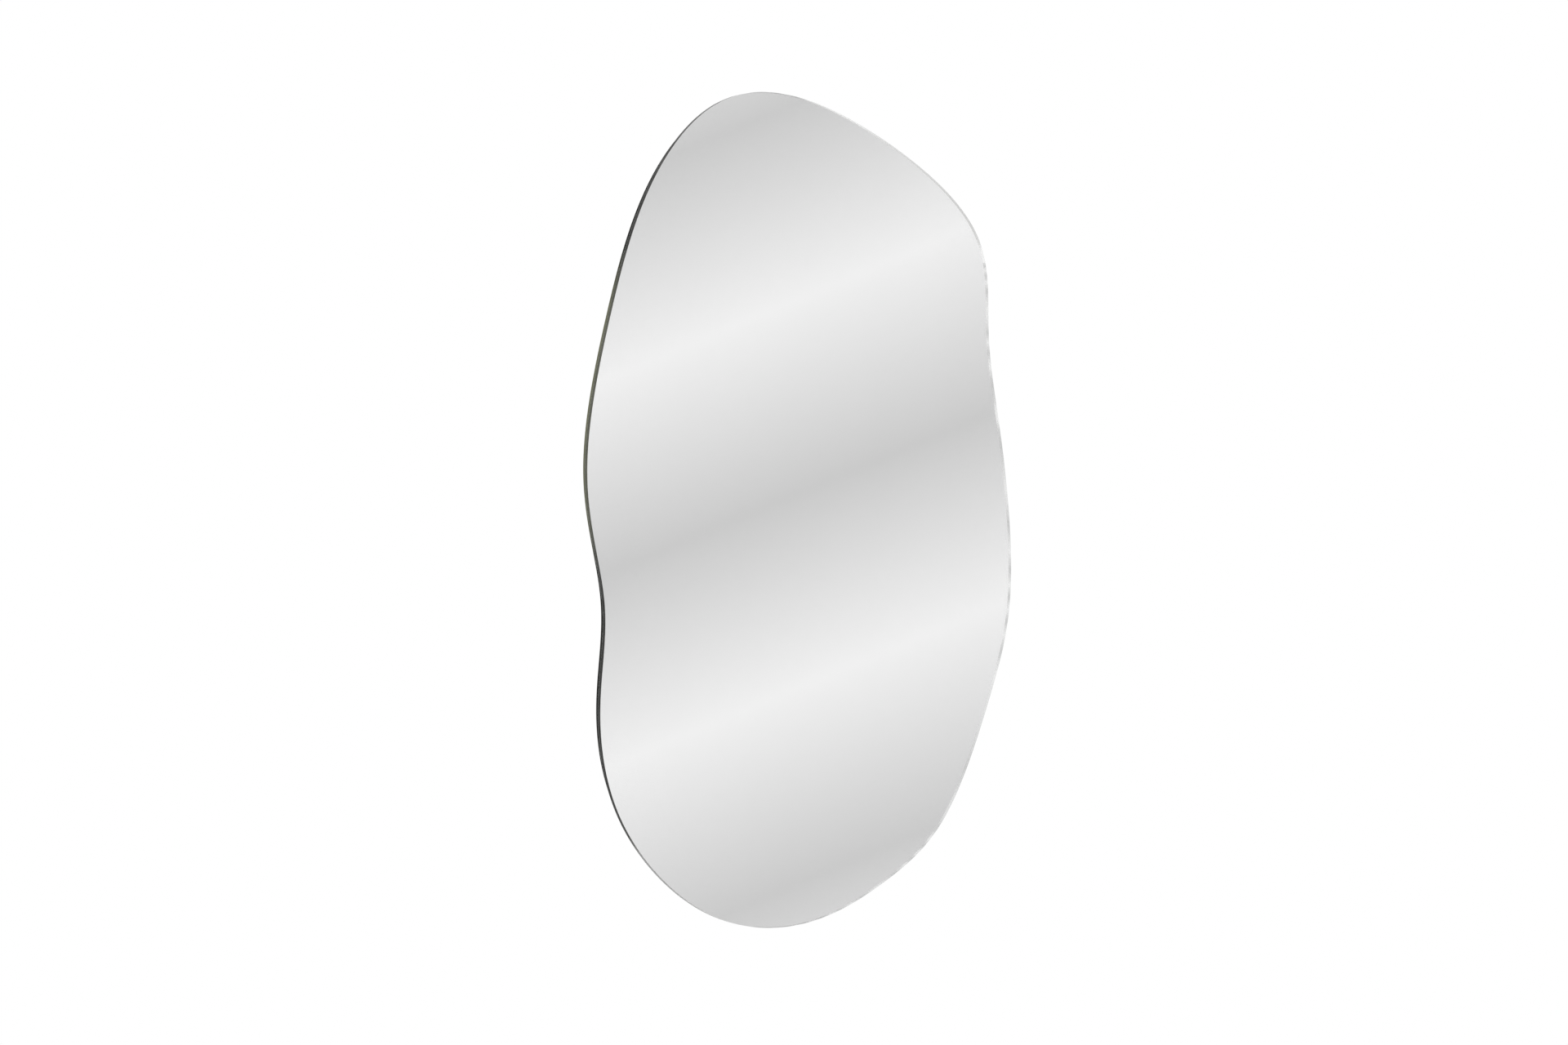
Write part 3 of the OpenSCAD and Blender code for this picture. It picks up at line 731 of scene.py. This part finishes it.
def cell_foam(sizes):
    """Closed-cell polyethylene foam, cut from a roll: matt and pale, with cut cells on its sides.
    The cells are drawn 0.5 mm wide, about twice their size."""
    material, tree, place = new_finish("Closed-cell foam tape")
    cells = put(tree, "ShaderNodeTexVoronoi", {"Vector": place, "Scale": 1 / (0.5 * MM)})
    # Darker in the cells' hollows than on their walls: painted shade
    tone = put(tree, "ShaderNodeMix", {"Factor": cells.outputs["Distance"],
                                       "A": shade(sizes.foam, 0.7), "B": sizes.foam},
               data_type="RGBA")
    relief = put(tree, "ShaderNodeBump", {"Height": cells.outputs["Distance"],
                                          "Distance": 0.1 * MM})
    return end_finish(material, Base_Color=tone, Roughness=0.9, Normal=relief)


def cured_adhesive(sizes):
    """Mirror adhesive, squeezed out as a bead and cured: an off-white rubbery skin with a dull
    shine and slow ripples."""
    material, tree, place = new_finish("Cured mirror adhesive")
    ripple = put(tree, "ShaderNodeTexNoise", {"Vector": place, "Scale": 1 / (4 * MM)})
    tone = put(tree, "ShaderNodeMix", {"Factor": ripple, "A": shade(sizes.adhesive, 0.88),
                                       "B": sizes.adhesive}, data_type="RGBA")
    relief = put(tree, "ShaderNodeBump", {"Height": ripple, "Distance": 0.3 * MM})
    return end_finish(material, Base_Color=tone, Roughness=0.4, Normal=relief)


def lacquered_board(sizes):
    """Medium density fibreboard, rolled with black matt lacquer: a fine pebbled film over which a
    few pale flecks of fibre and dust show."""
    material, tree, place = new_finish("Black lacquered fibreboard")
    pebble = put(tree, "ShaderNodeTexNoise", {"Vector": place, "Scale": 1 / (1.1 * MM)})
    fleck = put(tree, "ShaderNodeTexNoise",
                {"Vector": place, "Scale": 1 / (2.6 * MM), "Detail": 3.0})
    fibre = put(tree, "ShaderNodeMapRange", {"Value": fleck, "From Min": 0.52, "From Max": 0.8})
    tone = put(tree, "ShaderNodeMix", {"Factor": fibre, "A": sizes.board,
                                       "B": shade(sizes.board, 3.2)}, data_type="RGBA")
    gloss = put(tree, "ShaderNodeMapRange", {"Value": fleck, "To Min": 0.48, "To Max": 0.68})
    relief = put(tree, "ShaderNodeBump", {"Height": pebble, "Distance": 0.05 * MM})
    return end_finish(material, Base_Color=tone, Roughness=gloss, Normal=relief)


def board_edge(sizes):
    """Milled edge of the fibreboard under the same lacquer: the open middle of the board drinks it,
    so the edge is duller and shows the board's layers as fine ridges. Along the middle of the left
    side it is painted a paler olive, a painted sheen that stands in for light on that stretch."""
    material, tree, place = new_finish("Lacquered fibreboard edge")
    layers = put(tree, "ShaderNodeMapping",
                 {"Vector": place, "Scale": (1 / (3 * MM), 1 / (0.6 * MM), 1 / (3 * MM))})
    ridges = put(tree, "ShaderNodeTexNoise", {"Vector": layers, "Scale": 1.0, "Detail": 4.0})
    # Painted sheen: a paler olive laid over the middle of the left side
    painted_sheen = rim_stretch(tree, place, *SHEEN_LEFT_MIDDLE)
    tone = put(tree, "ShaderNodeMix", {"Factor": painted_sheen, "A": sizes.edge, "B": sizes.edge_painted_sheen},
               data_type="RGBA")
    grain = put(tree, "ShaderNodeMapRange", {"Value": ridges, "To Min": 0.8, "To Max": 1.2})
    tone = put(tree, "ShaderNodeVectorMath", {0: tone, "Scale": grain}, operation="SCALE")
    relief = put(tree, "ShaderNodeBump", {"Height": ridges, "Distance": 0.12 * MM})
    return end_finish(material, Base_Color=tone, Roughness=0.75, Normal=relief,
                      Specular_IOR_Level=0.3)


def raw_board(sizes):
    """Bare fibreboard in a drilled hole: brown, matt and fibrous."""
    material, tree, place = new_finish("Bare fibreboard")
    fibre = put(tree, "ShaderNodeTexNoise", {"Vector": place, "Scale": 1 / (0.8 * MM)})
    tone = put(tree, "ShaderNodeMix", {"Factor": fibre, "A": shade(sizes.bare, 0.7),
                                       "B": sizes.bare}, data_type="RGBA")
    return end_finish(material, Base_Color=tone, Roughness=0.9)


def zinc_sheet(sizes):
    """Cold-rolled steel strip, zinc plated and passivated clear: a soft grey shine with fine
    rolling lines along the strap, bluish in places and yellowish in others."""
    material, tree, place = new_finish("Zinc-plated steel strip")
    rolled = put(tree, "ShaderNodeMapping",
                 {"Vector": place, "Scale": (1 / (0.3 * MM), 1 / (0.3 * MM), 1 / (14 * MM))})
    lines = put(tree, "ShaderNodeTexNoise", {"Vector": rolled, "Scale": 1.0, "Detail": 3.0})
    cloud = put(tree, "ShaderNodeTexNoise", {"Vector": place, "Scale": 1 / (7 * MM), "Detail": 3.0})
    tone = put(tree, "ShaderNodeMix", {"Factor": cloud, "A": sizes.zinc_blue,
                                       "B": sizes.zinc_yellow}, data_type="RGBA")
    gloss = put(tree, "ShaderNodeMapRange", {"Value": lines, "To Min": 0.22, "To Max": 0.46})
    relief = put(tree, "ShaderNodeBump", {"Height": lines, "Distance": 0.006 * MM})
    return end_finish(material, Base_Color=tone, Metallic=1.0, Roughness=gloss, Normal=relief)


def zinc_wire(sizes):
    """Drawn steel wire, barrel plated with zinc: brighter than the strip, with a fine grain and
    small dull rubs from the barrel."""
    material, tree, place = new_finish("Zinc-plated steel wire")
    grain = put(tree, "ShaderNodeTexNoise", {"Vector": place, "Scale": 1 / (0.35 * MM)})
    rubs = put(tree, "ShaderNodeTexNoise", {"Vector": place, "Scale": 1 / (4 * MM), "Detail": 3.0})
    tone = put(tree, "ShaderNodeMix", {"Factor": rubs, "A": sizes.zinc_blue,
                                       "B": sizes.zinc_yellow}, data_type="RGBA")
    gloss = put(tree, "ShaderNodeMapRange", {"Value": rubs, "To Min": 0.18, "To Max": 0.42})
    relief = put(tree, "ShaderNodeBump", {"Height": grain, "Distance": 0.004 * MM})
    return end_finish(material, Base_Color=tone, Metallic=1.0, Roughness=gloss, Normal=relief)


def zinc_small_parts(sizes):
    """Cold-headed and stamped steel, bright zinc plated in a barrel: the brightest of the metal,
    with faint dents and a thin film of oil that dulls it in places."""
    material, tree, place = new_finish("Bright zinc-plated small parts")
    dents = put(tree, "ShaderNodeTexNoise", {"Vector": place, "Scale": 1 / (1.2 * MM)})
    film = put(tree, "ShaderNodeTexNoise", {"Vector": place, "Scale": 1 / (3 * MM), "Detail": 2.0})
    tone = put(tree, "ShaderNodeMix", {"Factor": film, "A": shade(sizes.steel, 0.92),
                                       "B": shade(sizes.steel, 1.08)}, data_type="RGBA")
    gloss = put(tree, "ShaderNodeMapRange", {"Value": film, "To Min": 0.14, "To Max": 0.36})
    relief = put(tree, "ShaderNodeBump", {"Height": dents, "Distance": 0.01 * MM})
    return end_finish(material, Base_Color=tone, Metallic=1.0, Roughness=gloss, Normal=relief)


def moulded_rubber(sizes):
    """Natural rubber filled with carbon black, moulded in a blasted tool: dull black with a fine
    even grain, drawn at 0.5 mm, and a faint grey bloom."""
    material, tree, place = new_finish("Moulded black rubber")
    grain = put(tree, "ShaderNodeTexNoise", {"Vector": place, "Scale": 1 / (0.5 * MM)})
    bloom = put(tree, "ShaderNodeTexNoise", {"Vector": place, "Scale": 1 / (5 * MM), "Detail": 3.0})
    tone = put(tree, "ShaderNodeMix", {"Factor": bloom, "A": shade(sizes.rubber, 0.8),
                                       "B": shade(sizes.rubber, 1.7)}, data_type="RGBA")
    gloss = put(tree, "ShaderNodeMapRange", {"Value": bloom, "To Min": 0.5, "To Max": 0.78})
    relief = put(tree, "ShaderNodeBump", {"Height": grain, "Distance": 0.04 * MM})
    return end_finish(material, Base_Color=tone, Roughness=gloss, Normal=relief)


def studio_floor(sizes):
    """Matt painted floor, rolled on: pale and even, and white towards its rim for the camera."""
    material, tree, place = new_finish("Pale painted floor")
    cloud = put(tree, "ShaderNodeTexNoise", {"Vector": place, "Scale": 1.5})
    tone = put(tree, "ShaderNodeMix", {"Factor": cloud, "A": sizes.floor,
                                       "B": shade(sizes.floor, 0.97)}, data_type="RGBA")
    paint = put(tree, "ShaderNodeBsdfPrincipled", {"Base Color": tone, "Roughness": 0.8})
    white = put(tree, "ShaderNodeEmission", {"Color": (1, 1, 1, 1), "Strength": 1.0})
    away = put(tree, "ShaderNodeVectorMath", {0: place}, operation="LENGTH").outputs["Value"]
    start, end = 0.35 * sizes.floor_radius, 0.95 * sizes.floor_radius
    fade = put(tree, "ShaderNodeMapRange", {"Value": away, "From Min": start, "From Max": end},
               interpolation_type="SMOOTHSTEP")
    rays = put(tree, "ShaderNodeLightPath").outputs
    seen = put(tree, "ShaderNodeMath", {0: rays["Is Camera Ray"], 1: rays["Is Glossy Ray"]})
    seen = put(tree, "ShaderNodeMath", {0: seen, 1: rays["Is Transmission Ray"]})
    share = put(tree, "ShaderNodeMath", {0: fade, 1: seen}, operation="MULTIPLY", use_clamp=True)
    both = put(tree, "ShaderNodeMixShader", {0: share, 1: paint, 2: white})
    put(tree, "ShaderNodeOutputMaterial", {"Surface": both})
    return material


def studio_world(sizes):
    """World that is white for the camera, even and soft for matt surfaces, and banded for glass
    and metal: broad soft stripes of light that rise to the right round the whole studio."""
    world = bpy.data.worlds.new("White studio")
    world.use_nodes = True
    tree = world.node_tree
    tree.nodes.clear()
    ray = put(tree, "ShaderNodeSeparateXYZ", {0: put(tree, "ShaderNodeTexCoord").outputs[0]})
    forwards = put(tree, "ShaderNodeMath", {0: ray.outputs["Y"], 1: -1.0}, operation="MULTIPLY")
    azimuth = put(tree, "ShaderNodeMath", {0: ray.outputs["X"], 1: forwards}, operation="ARCTAN2")
    elevation = put(tree, "ShaderNodeMath", {0: ray.outputs["Z"]}, operation="ARCSINE")
    # Each turn round the studio climbs by a whole number of stripes, so that they meet again
    stripes = 20
    rise = stripes * sizes.band_period / (2 * math.pi)
    climb = put(tree, "ShaderNodeMath", {0: azimuth, 1: rise}, operation="MULTIPLY")
    level = put(tree, "ShaderNodeMath", {0: elevation, 1: climb}, operation="SUBTRACT")
    turns = put(tree, "ShaderNodeMath", {0: level, 1: sizes.band_period}, operation="DIVIDE")
    phase = put(tree, "ShaderNodeMath", {0: turns, 1: sizes.band_phase})
    wave = put(tree, "ShaderNodeMath", {0: phase, 1: 0.5}, operation="PINGPONG")
    bright = put(tree, "ShaderNodeMapRange",
                 {"Value": wave, "From Max": 0.5, "To Min": sizes.dark_band,
                  "To Max": sizes.light_band})
    bands = put(tree, "ShaderNodeBackground", {"Color": (1, 1, 1, 1), "Strength": bright})
    soft = put(tree, "ShaderNodeBackground", {"Color": (1, 1, 1, 1), "Strength": sizes.soft_light})
    white = put(tree, "ShaderNodeBackground", {"Color": (1, 1, 1, 1), "Strength": 1.0})
    rays = put(tree, "ShaderNodeLightPath").outputs
    shiny = put(tree, "ShaderNodeMath", {0: rays["Is Glossy Ray"], 1: rays["Is Transmission Ray"]},
                operation="MAXIMUM")
    lit = put(tree, "ShaderNodeMixShader", {0: shiny, 1: soft, 2: bands})
    seen = put(tree, "ShaderNodeMixShader", {0: rays["Is Camera Ray"], 1: lit, 2: white})
    put(tree, "ShaderNodeOutputWorld", {"Surface": seen})
    return world


# Operators, one for each piece or group of like pieces

class MIRROR_OT_glass(bpy.types.Operator):
    """Builds the pane of float glass with its ground and polished edge"""
    bl_idname = "mirror.glass"
    bl_label = "Glass pane"

    def execute(self, context):
        sizes = context.scene.mirror_glass
        pane = plate("float_glass_pane", GLASS, 0.0, (sizes.arris, sizes.arris),
                     (float_glass(sizes), polished_edge(sizes)))
        settle(pane, "mirror", "glass", "glass_pane")
        return {"FINISHED"}


class MIRROR_OT_coatings(bpy.types.Operator):
    """Lays silver, paint and film on the back of the glass"""
    bl_idname = "mirror.coatings"
    bl_label = "Silver, paint and film"

    def execute(self, context):
        sizes = context.scene.mirror_glass
        # The silver starts a hair behind the glass, because two faces in one place flicker
        hair = Vector((0, 0.015 * MM, 0))
        coats = (("silver_coat", (SILVER[0] + hair, SILVER[1]), "silver", "silvering", 0.0,
                  silver_layer(sizes)),
                 ("paint_coat", PAINT, "paint", "back_paint", 0.0, back_paint(sizes)),
                 ("film_coat", FILM, "film", "safety_film", sizes.film_inset,
                  splinter_film(sizes)))
        for name, box, slot, node, inset, finish in coats:
            coat = plate(name, box, sizes.arris + inset, (0.0, 0.0), (finish, finish))
            settle(coat, "mirror", slot, node)
        return {"FINISHED"}


class MIRROR_OT_board(bpy.types.Operator):
    """Builds the fibreboard with the pilot holes for its screws"""
    bl_idname = "mirror.board"
    bl_label = "Backing board"

    def execute(self, context):
        sizes, screw = context.scene.mirror_board, context.scene.mirror_screw
        rear = BOARD[1].y
        spots = hanger_screw_places(context.scene.mirror_hanger, rear) + bumper_places(rear)
        places = bpy.data.objects.new("pilot_places", base_mesh("pilot_places", spots))
        context.scene.collection.objects.link(places)
        holes = {"Places": places, "Radius": screw.shank / 2 + screw.clearance,
                 "Depth": screw.bite + screw.tip_room, "Material": raw_board(sizes)}
        board = plate("fibreboard_panel", BOARD, sizes.inset, (0.0, sizes.chamfer),
                      (lacquered_board(sizes), board_edge(sizes)), (drilled_tree(), holes))
        bpy.data.objects.remove(places)
        settle(board, "mirror", "board", "backing_board")
        return {"FINISHED"}


class MIRROR_OT_bonding(bpy.types.Operator):
    """Gives the foam tapes and the adhesive beads their finish"""
    bl_idname = "mirror.bonding"
    bl_label = "Foam tape and adhesive"

    def execute(self, context):
        sizes = context.scene.mirror_board
        for node, finish in (("foam_tape", cell_foam(sizes)),
                             ("adhesive_beads", cured_adhesive(sizes))):
            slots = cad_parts[node].data.materials
            slots.clear()
            slots.append(finish)
        return {"FINISHED"}


class MIRROR_OT_straps(bpy.types.Operator):
    """Folds the two straps round the bars of their rings"""
    bl_idname = "mirror.straps"
    bl_label = "Hanger straps"

    def execute(self, context):
        sizes, screw = context.scene.mirror_hanger, context.scene.mirror_screw
        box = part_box("hanger_strap_left")
        bar_z = bar_height(sizes)
        long = bar_z - box[0].z
        half, gap = sizes.sheet / 2, 0.04 * MM  # the strap's two layers stay a hair apart
        eye = sizes.wire / 2 + sizes.fit
        turn = eye + half
        bar_up = sizes.sheet + eye
        # The upper layer leaves the eye on a straight line to where it meets the lower one
        meet = (sizes.sheet + half + gap, -sizes.fold)
        away = math.hypot(meet[0] - bar_up, meet[1])
        leave = math.atan2(meet[1], meet[0] - bar_up) + math.acos(turn / away)
        path = [(half, -long - screw.bite), (half, 0.0)]
        steps = 36  # round the eye
        for k in range(1, steps + 1):
            angle = math.pi - (math.pi - leave) * k / steps
            path.append((bar_up + turn * math.cos(angle), turn * math.sin(angle)))
        path += [meet, (meet[0], -long - screw.bite)]
        path = [(x, y, 0.0) for x, y in path]
        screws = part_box("hanger_screws_left")
        tree, finish = strap_tree(), zinc_sheet(sizes)
        for side, sign in SIDES.items():
            strap = grow("folded_strap_" + side, base_mesh("strap", path, True), (tree, {
                "Width": sizes.strap_width, "Sheet": sizes.sheet, "Length": long,
                "Hole radius": screw.shank / 2 + screw.hole,
                "Upper hole": bar_z - (screws[1].z - screw.head / 2),
                "Lower hole": bar_z - (screws[0].z + screw.head / 2),
                "Place": (sign * sizes.hook_gap / 2, BOARD[1].y, bar_z), "Material": finish}))
            settle(strap, "mirror", "zinc_steel", "hanger_strap_" + side)
        return {"FINISHED"}


class MIRROR_OT_rings(bpy.types.Operator):
    """Bends the two D-rings, which lean on the board at rest"""
    bl_idname = "mirror.rings"
    bl_label = "D-rings"

    def execute(self, context):
        sizes = context.scene.mirror_hanger
        corner = sizes.bend + sizes.wire / 2
        arm = sizes.strap_width / 2 + sizes.play + corner
        reach = sizes.opening + sizes.wire
        spring = reach - arm
        # Right half of the ring, from the middle of its bar to the top of its bow, with the steps
        # that the bar, the bend and the bow take
        on_bar, on_bend, on_bow = 4, 12, 24
        half = [((arm - corner) * k / on_bar, 0.0) for k in range(on_bar)]
        for k in range(on_bend + 1):
            angle = math.pi / 2 * (k / on_bend - 1)
            half.append((arm - corner + corner * math.cos(angle),
                         corner + corner * math.sin(angle)))
        for k in range(on_bow + 1):
            angle = math.pi / 2 * k / on_bow
            half.append((arm * math.cos(angle), spring + arm * math.sin(angle)))
        ring = half + [(-x, y) for x, y in reversed(half[1:-1])]
        bar_up = sizes.sheet + sizes.wire / 2 + sizes.fit
        lean = math.asin((bar_up - sizes.wire / 2 - sizes.rest) / reach)
        bar = Vector((0, BOARD[1].y + bar_up, bar_height(sizes)))
        tree, finish = wire_tree(), zinc_wire(sizes)
        for side, sign in SIDES.items():
            line = [(sign * sizes.hook_gap / 2 + x, bar.y - y * math.sin(lean),
                     bar.z + y * math.cos(lean)) for x, y in ring]
            bow = grow("wire_ring_" + side, base_mesh("ring", line, True, True),
                       (tree, {"Radius": sizes.wire / 2, "Sides": 32, "Material": finish}))
            settle(bow, "ring_" + side, "zinc_steel", "hanger_ring_" + side)
        return {"FINISHED"}


class MIRROR_OT_bumpers(bpy.types.Operator):
    """Moulds the four rubber bumpers and stamps their washers"""
    bl_idname = "mirror.bumpers"
    bl_label = "Bumpers and washers"

    def execute(self, context):
        sizes, screw = context.scene.mirror_bumper, context.scene.mirror_screw
        hole = screw.shank / 2 + screw.hole
        base = (BUMPERS[0][1].x - BUMPERS[0][0].x) / 2
        bumpers = grow("rubber_bumpers", base_mesh("bumpers", bumper_places(BOARD[1].y)),
                       (bumper_tree(), {
                           "Base radius": base, "Top radius": base - sizes.taper,
                           "Height": thickness(BUMPERS[0]), "Rim radius": sizes.rim,
                           "Recess radius": sizes.washer / 2 + sizes.fit, "Floor": sizes.floor,
                           "Hole radius": hole, "Material": moulded_rubber(sizes)}))
        settle(bumpers, "mirror", "rubber", *["bumper_" + corner for corner in CORNERS])
        washers = grow("steel_washers", base_mesh("washers", bumper_places(WASHERS[0].y)),
                       (washer_tree(), {
                           "Outer radius": sizes.washer / 2, "Hole radius": hole,
                           "Thickness": sizes.washer_sheet,
                           "Material": zinc_small_parts(screw)}))
        settle(washers, "mirror", "zinc_steel", "bumper_washers")
        return {"FINISHED"}


class MIRROR_OT_screws(bpy.types.Operator):
    """Drives the screws of the hangers and of the bumpers"""
    bl_idname = "mirror.screws"
    bl_label = "Screws"

    def execute(self, context):
        sizes, screw = context.scene.mirror_hanger, context.scene.mirror_screw
        tree, finish = screw_tree(), zinc_small_parts(screw)
        strap_top, washer_top = BOARD[1].y + 2 * sizes.sheet, WASHERS[1].y
        sets = (("hanger_pan_screws", hanger_screw_places(sizes, strap_top), strap_top,
                 ("hanger_screws_left", "hanger_screws_right")),
                ("bumper_pan_screws", bumper_places(washer_top), washer_top, ("bumper_screws",)))
        for name, spots, seat, nodes in sets:
            screws = grow(name, base_mesh(name, spots), (tree, {
                "Shank diameter": screw.shank, "Length": seat - BOARD[1].y + screw.bite,
                "Head diameter": screw.head, "Head height": screw.height, "Pitch": screw.pitch,
                "Seed": 4, "Material": finish}))
            settle(screws, "mirror", "zinc_steel", *nodes)
        return {"FINISHED"}


class MIRROR_OT_stage(bpy.types.Operator):
    """Sets the floor, the light and the camera"""
    bl_idname = "mirror.stage"
    bl_label = "Stage"

    def execute(self, context):
        sizes, scene = context.scene.mirror_stage, context.scene
        scene.view_settings.view_transform = "Standard"
        scene.world = studio_world(sizes)
        sides = 96
        rim = [(sizes.floor_radius * math.cos(2 * math.pi * k / sides),
                sizes.floor_radius * math.sin(2 * math.pi * k / sides), -sizes.hook_height)
               for k in range(sides)]
        mesh = bpy.data.meshes.new("floor")
        mesh.from_pydata(rim, [], [range(sides)])
        mesh.materials.append(studio_floor(sizes))
        floor = bpy.data.objects.new("floor", mesh)
        scene.collection.objects.link(floor)
        # Soft boxes as place, width and height, and power. None shows in the glass or through it
        heart = middle(GLASS)
        for name, place, size, power in (("key", (1.9, 2.5, 1.5), (1.6, 1.6), 60.0),
                                         ("fill", (-1.9, 2.0, -0.2), (1.2, 1.6), 14.0),
                                         ("top", (0.0, -0.4, 2.8), (2.2, 2.2), 30.0)):
            data = bpy.data.lights.new(name, "AREA")
            data.shape, data.size, data.size_y, data.energy = "RECTANGLE", *size, power
            lamp = bpy.data.objects.new(name, data)
            lamp.location = place
            lamp.rotation_euler = (heart - Vector(place)).to_track_quat("-Z", "Y").to_euler()
            lamp.visible_camera = False
            lamp.visible_glossy = False
            lamp.visible_transmission = False
            scene.collection.objects.link(lamp)
        aim = Vector((-sizes.aim_left, GLASS[0].y, heart.z))
        view = Vector((math.sin(sizes.yaw), math.cos(sizes.yaw), 0))
        data = bpy.data.cameras.new("camera")
        data.lens, data.sensor_width = sizes.lens, 36.0
        # The point aimed at lies a little right of and above the middle of the photograph
        data.shift_x, data.shift_y = sizes.shift
        camera = bpy.data.objects.new("camera", data)
        camera.location = aim - view * sizes.distance
        camera.rotation_euler = (math.pi / 2, 0, -sizes.yaw)
        scene.collection.objects.link(camera)
        scene.camera = camera
        return {"FINISHED"}


STEPS = (MIRROR_OT_stage, MIRROR_OT_glass, MIRROR_OT_coatings, MIRROR_OT_board, MIRROR_OT_bonding,
         MIRROR_OT_straps, MIRROR_OT_rings, MIRROR_OT_bumpers, MIRROR_OT_screws)


class MIRROR_PT_sidebar(bpy.types.Panel):
    """Buttons for each group of pieces"""
    bl_idname = "MIRROR_PT_sidebar"
    bl_label = "Free-form Wall Mirror"
    bl_space_type = "VIEW_3D"
    bl_region_type = "UI"
    bl_category = "Mirror"

    def draw(self, context):
        for step in STEPS:
            self.layout.operator(step.bl_idname)
        for group, settings in GROUPS.items():
            box = self.layout.box()
            for name in settings.__annotations__:
                box.prop(getattr(context.scene, group), name)


def register():
    """Registers the settings, the operators and the panel."""
    for part in (*GROUPS.values(), *STEPS, MIRROR_PT_sidebar):
        bpy.utils.register_class(part)
    for group, settings in GROUPS.items():
        setattr(bpy.types.Scene, group, PointerProperty(type=settings))


def unregister():
    """Takes the panel, the operators and the settings away again."""
    for group in GROUPS:
        delattr(bpy.types.Scene, group)
    for part in reversed((*GROUPS.values(), *STEPS, MIRROR_PT_sidebar)):
        bpy.utils.unregister_class(part)


def main():
    """Builds the whole mirror on its stage."""
    register()
    for step in STEPS:
        name = step.bl_idname.split(".")[1]
        if getattr(bpy.ops.mirror, name)() != {"FINISHED"}:
            raise RuntimeError(f"{step.bl_label} was not finished")


if __name__ == "__main__":
    main()
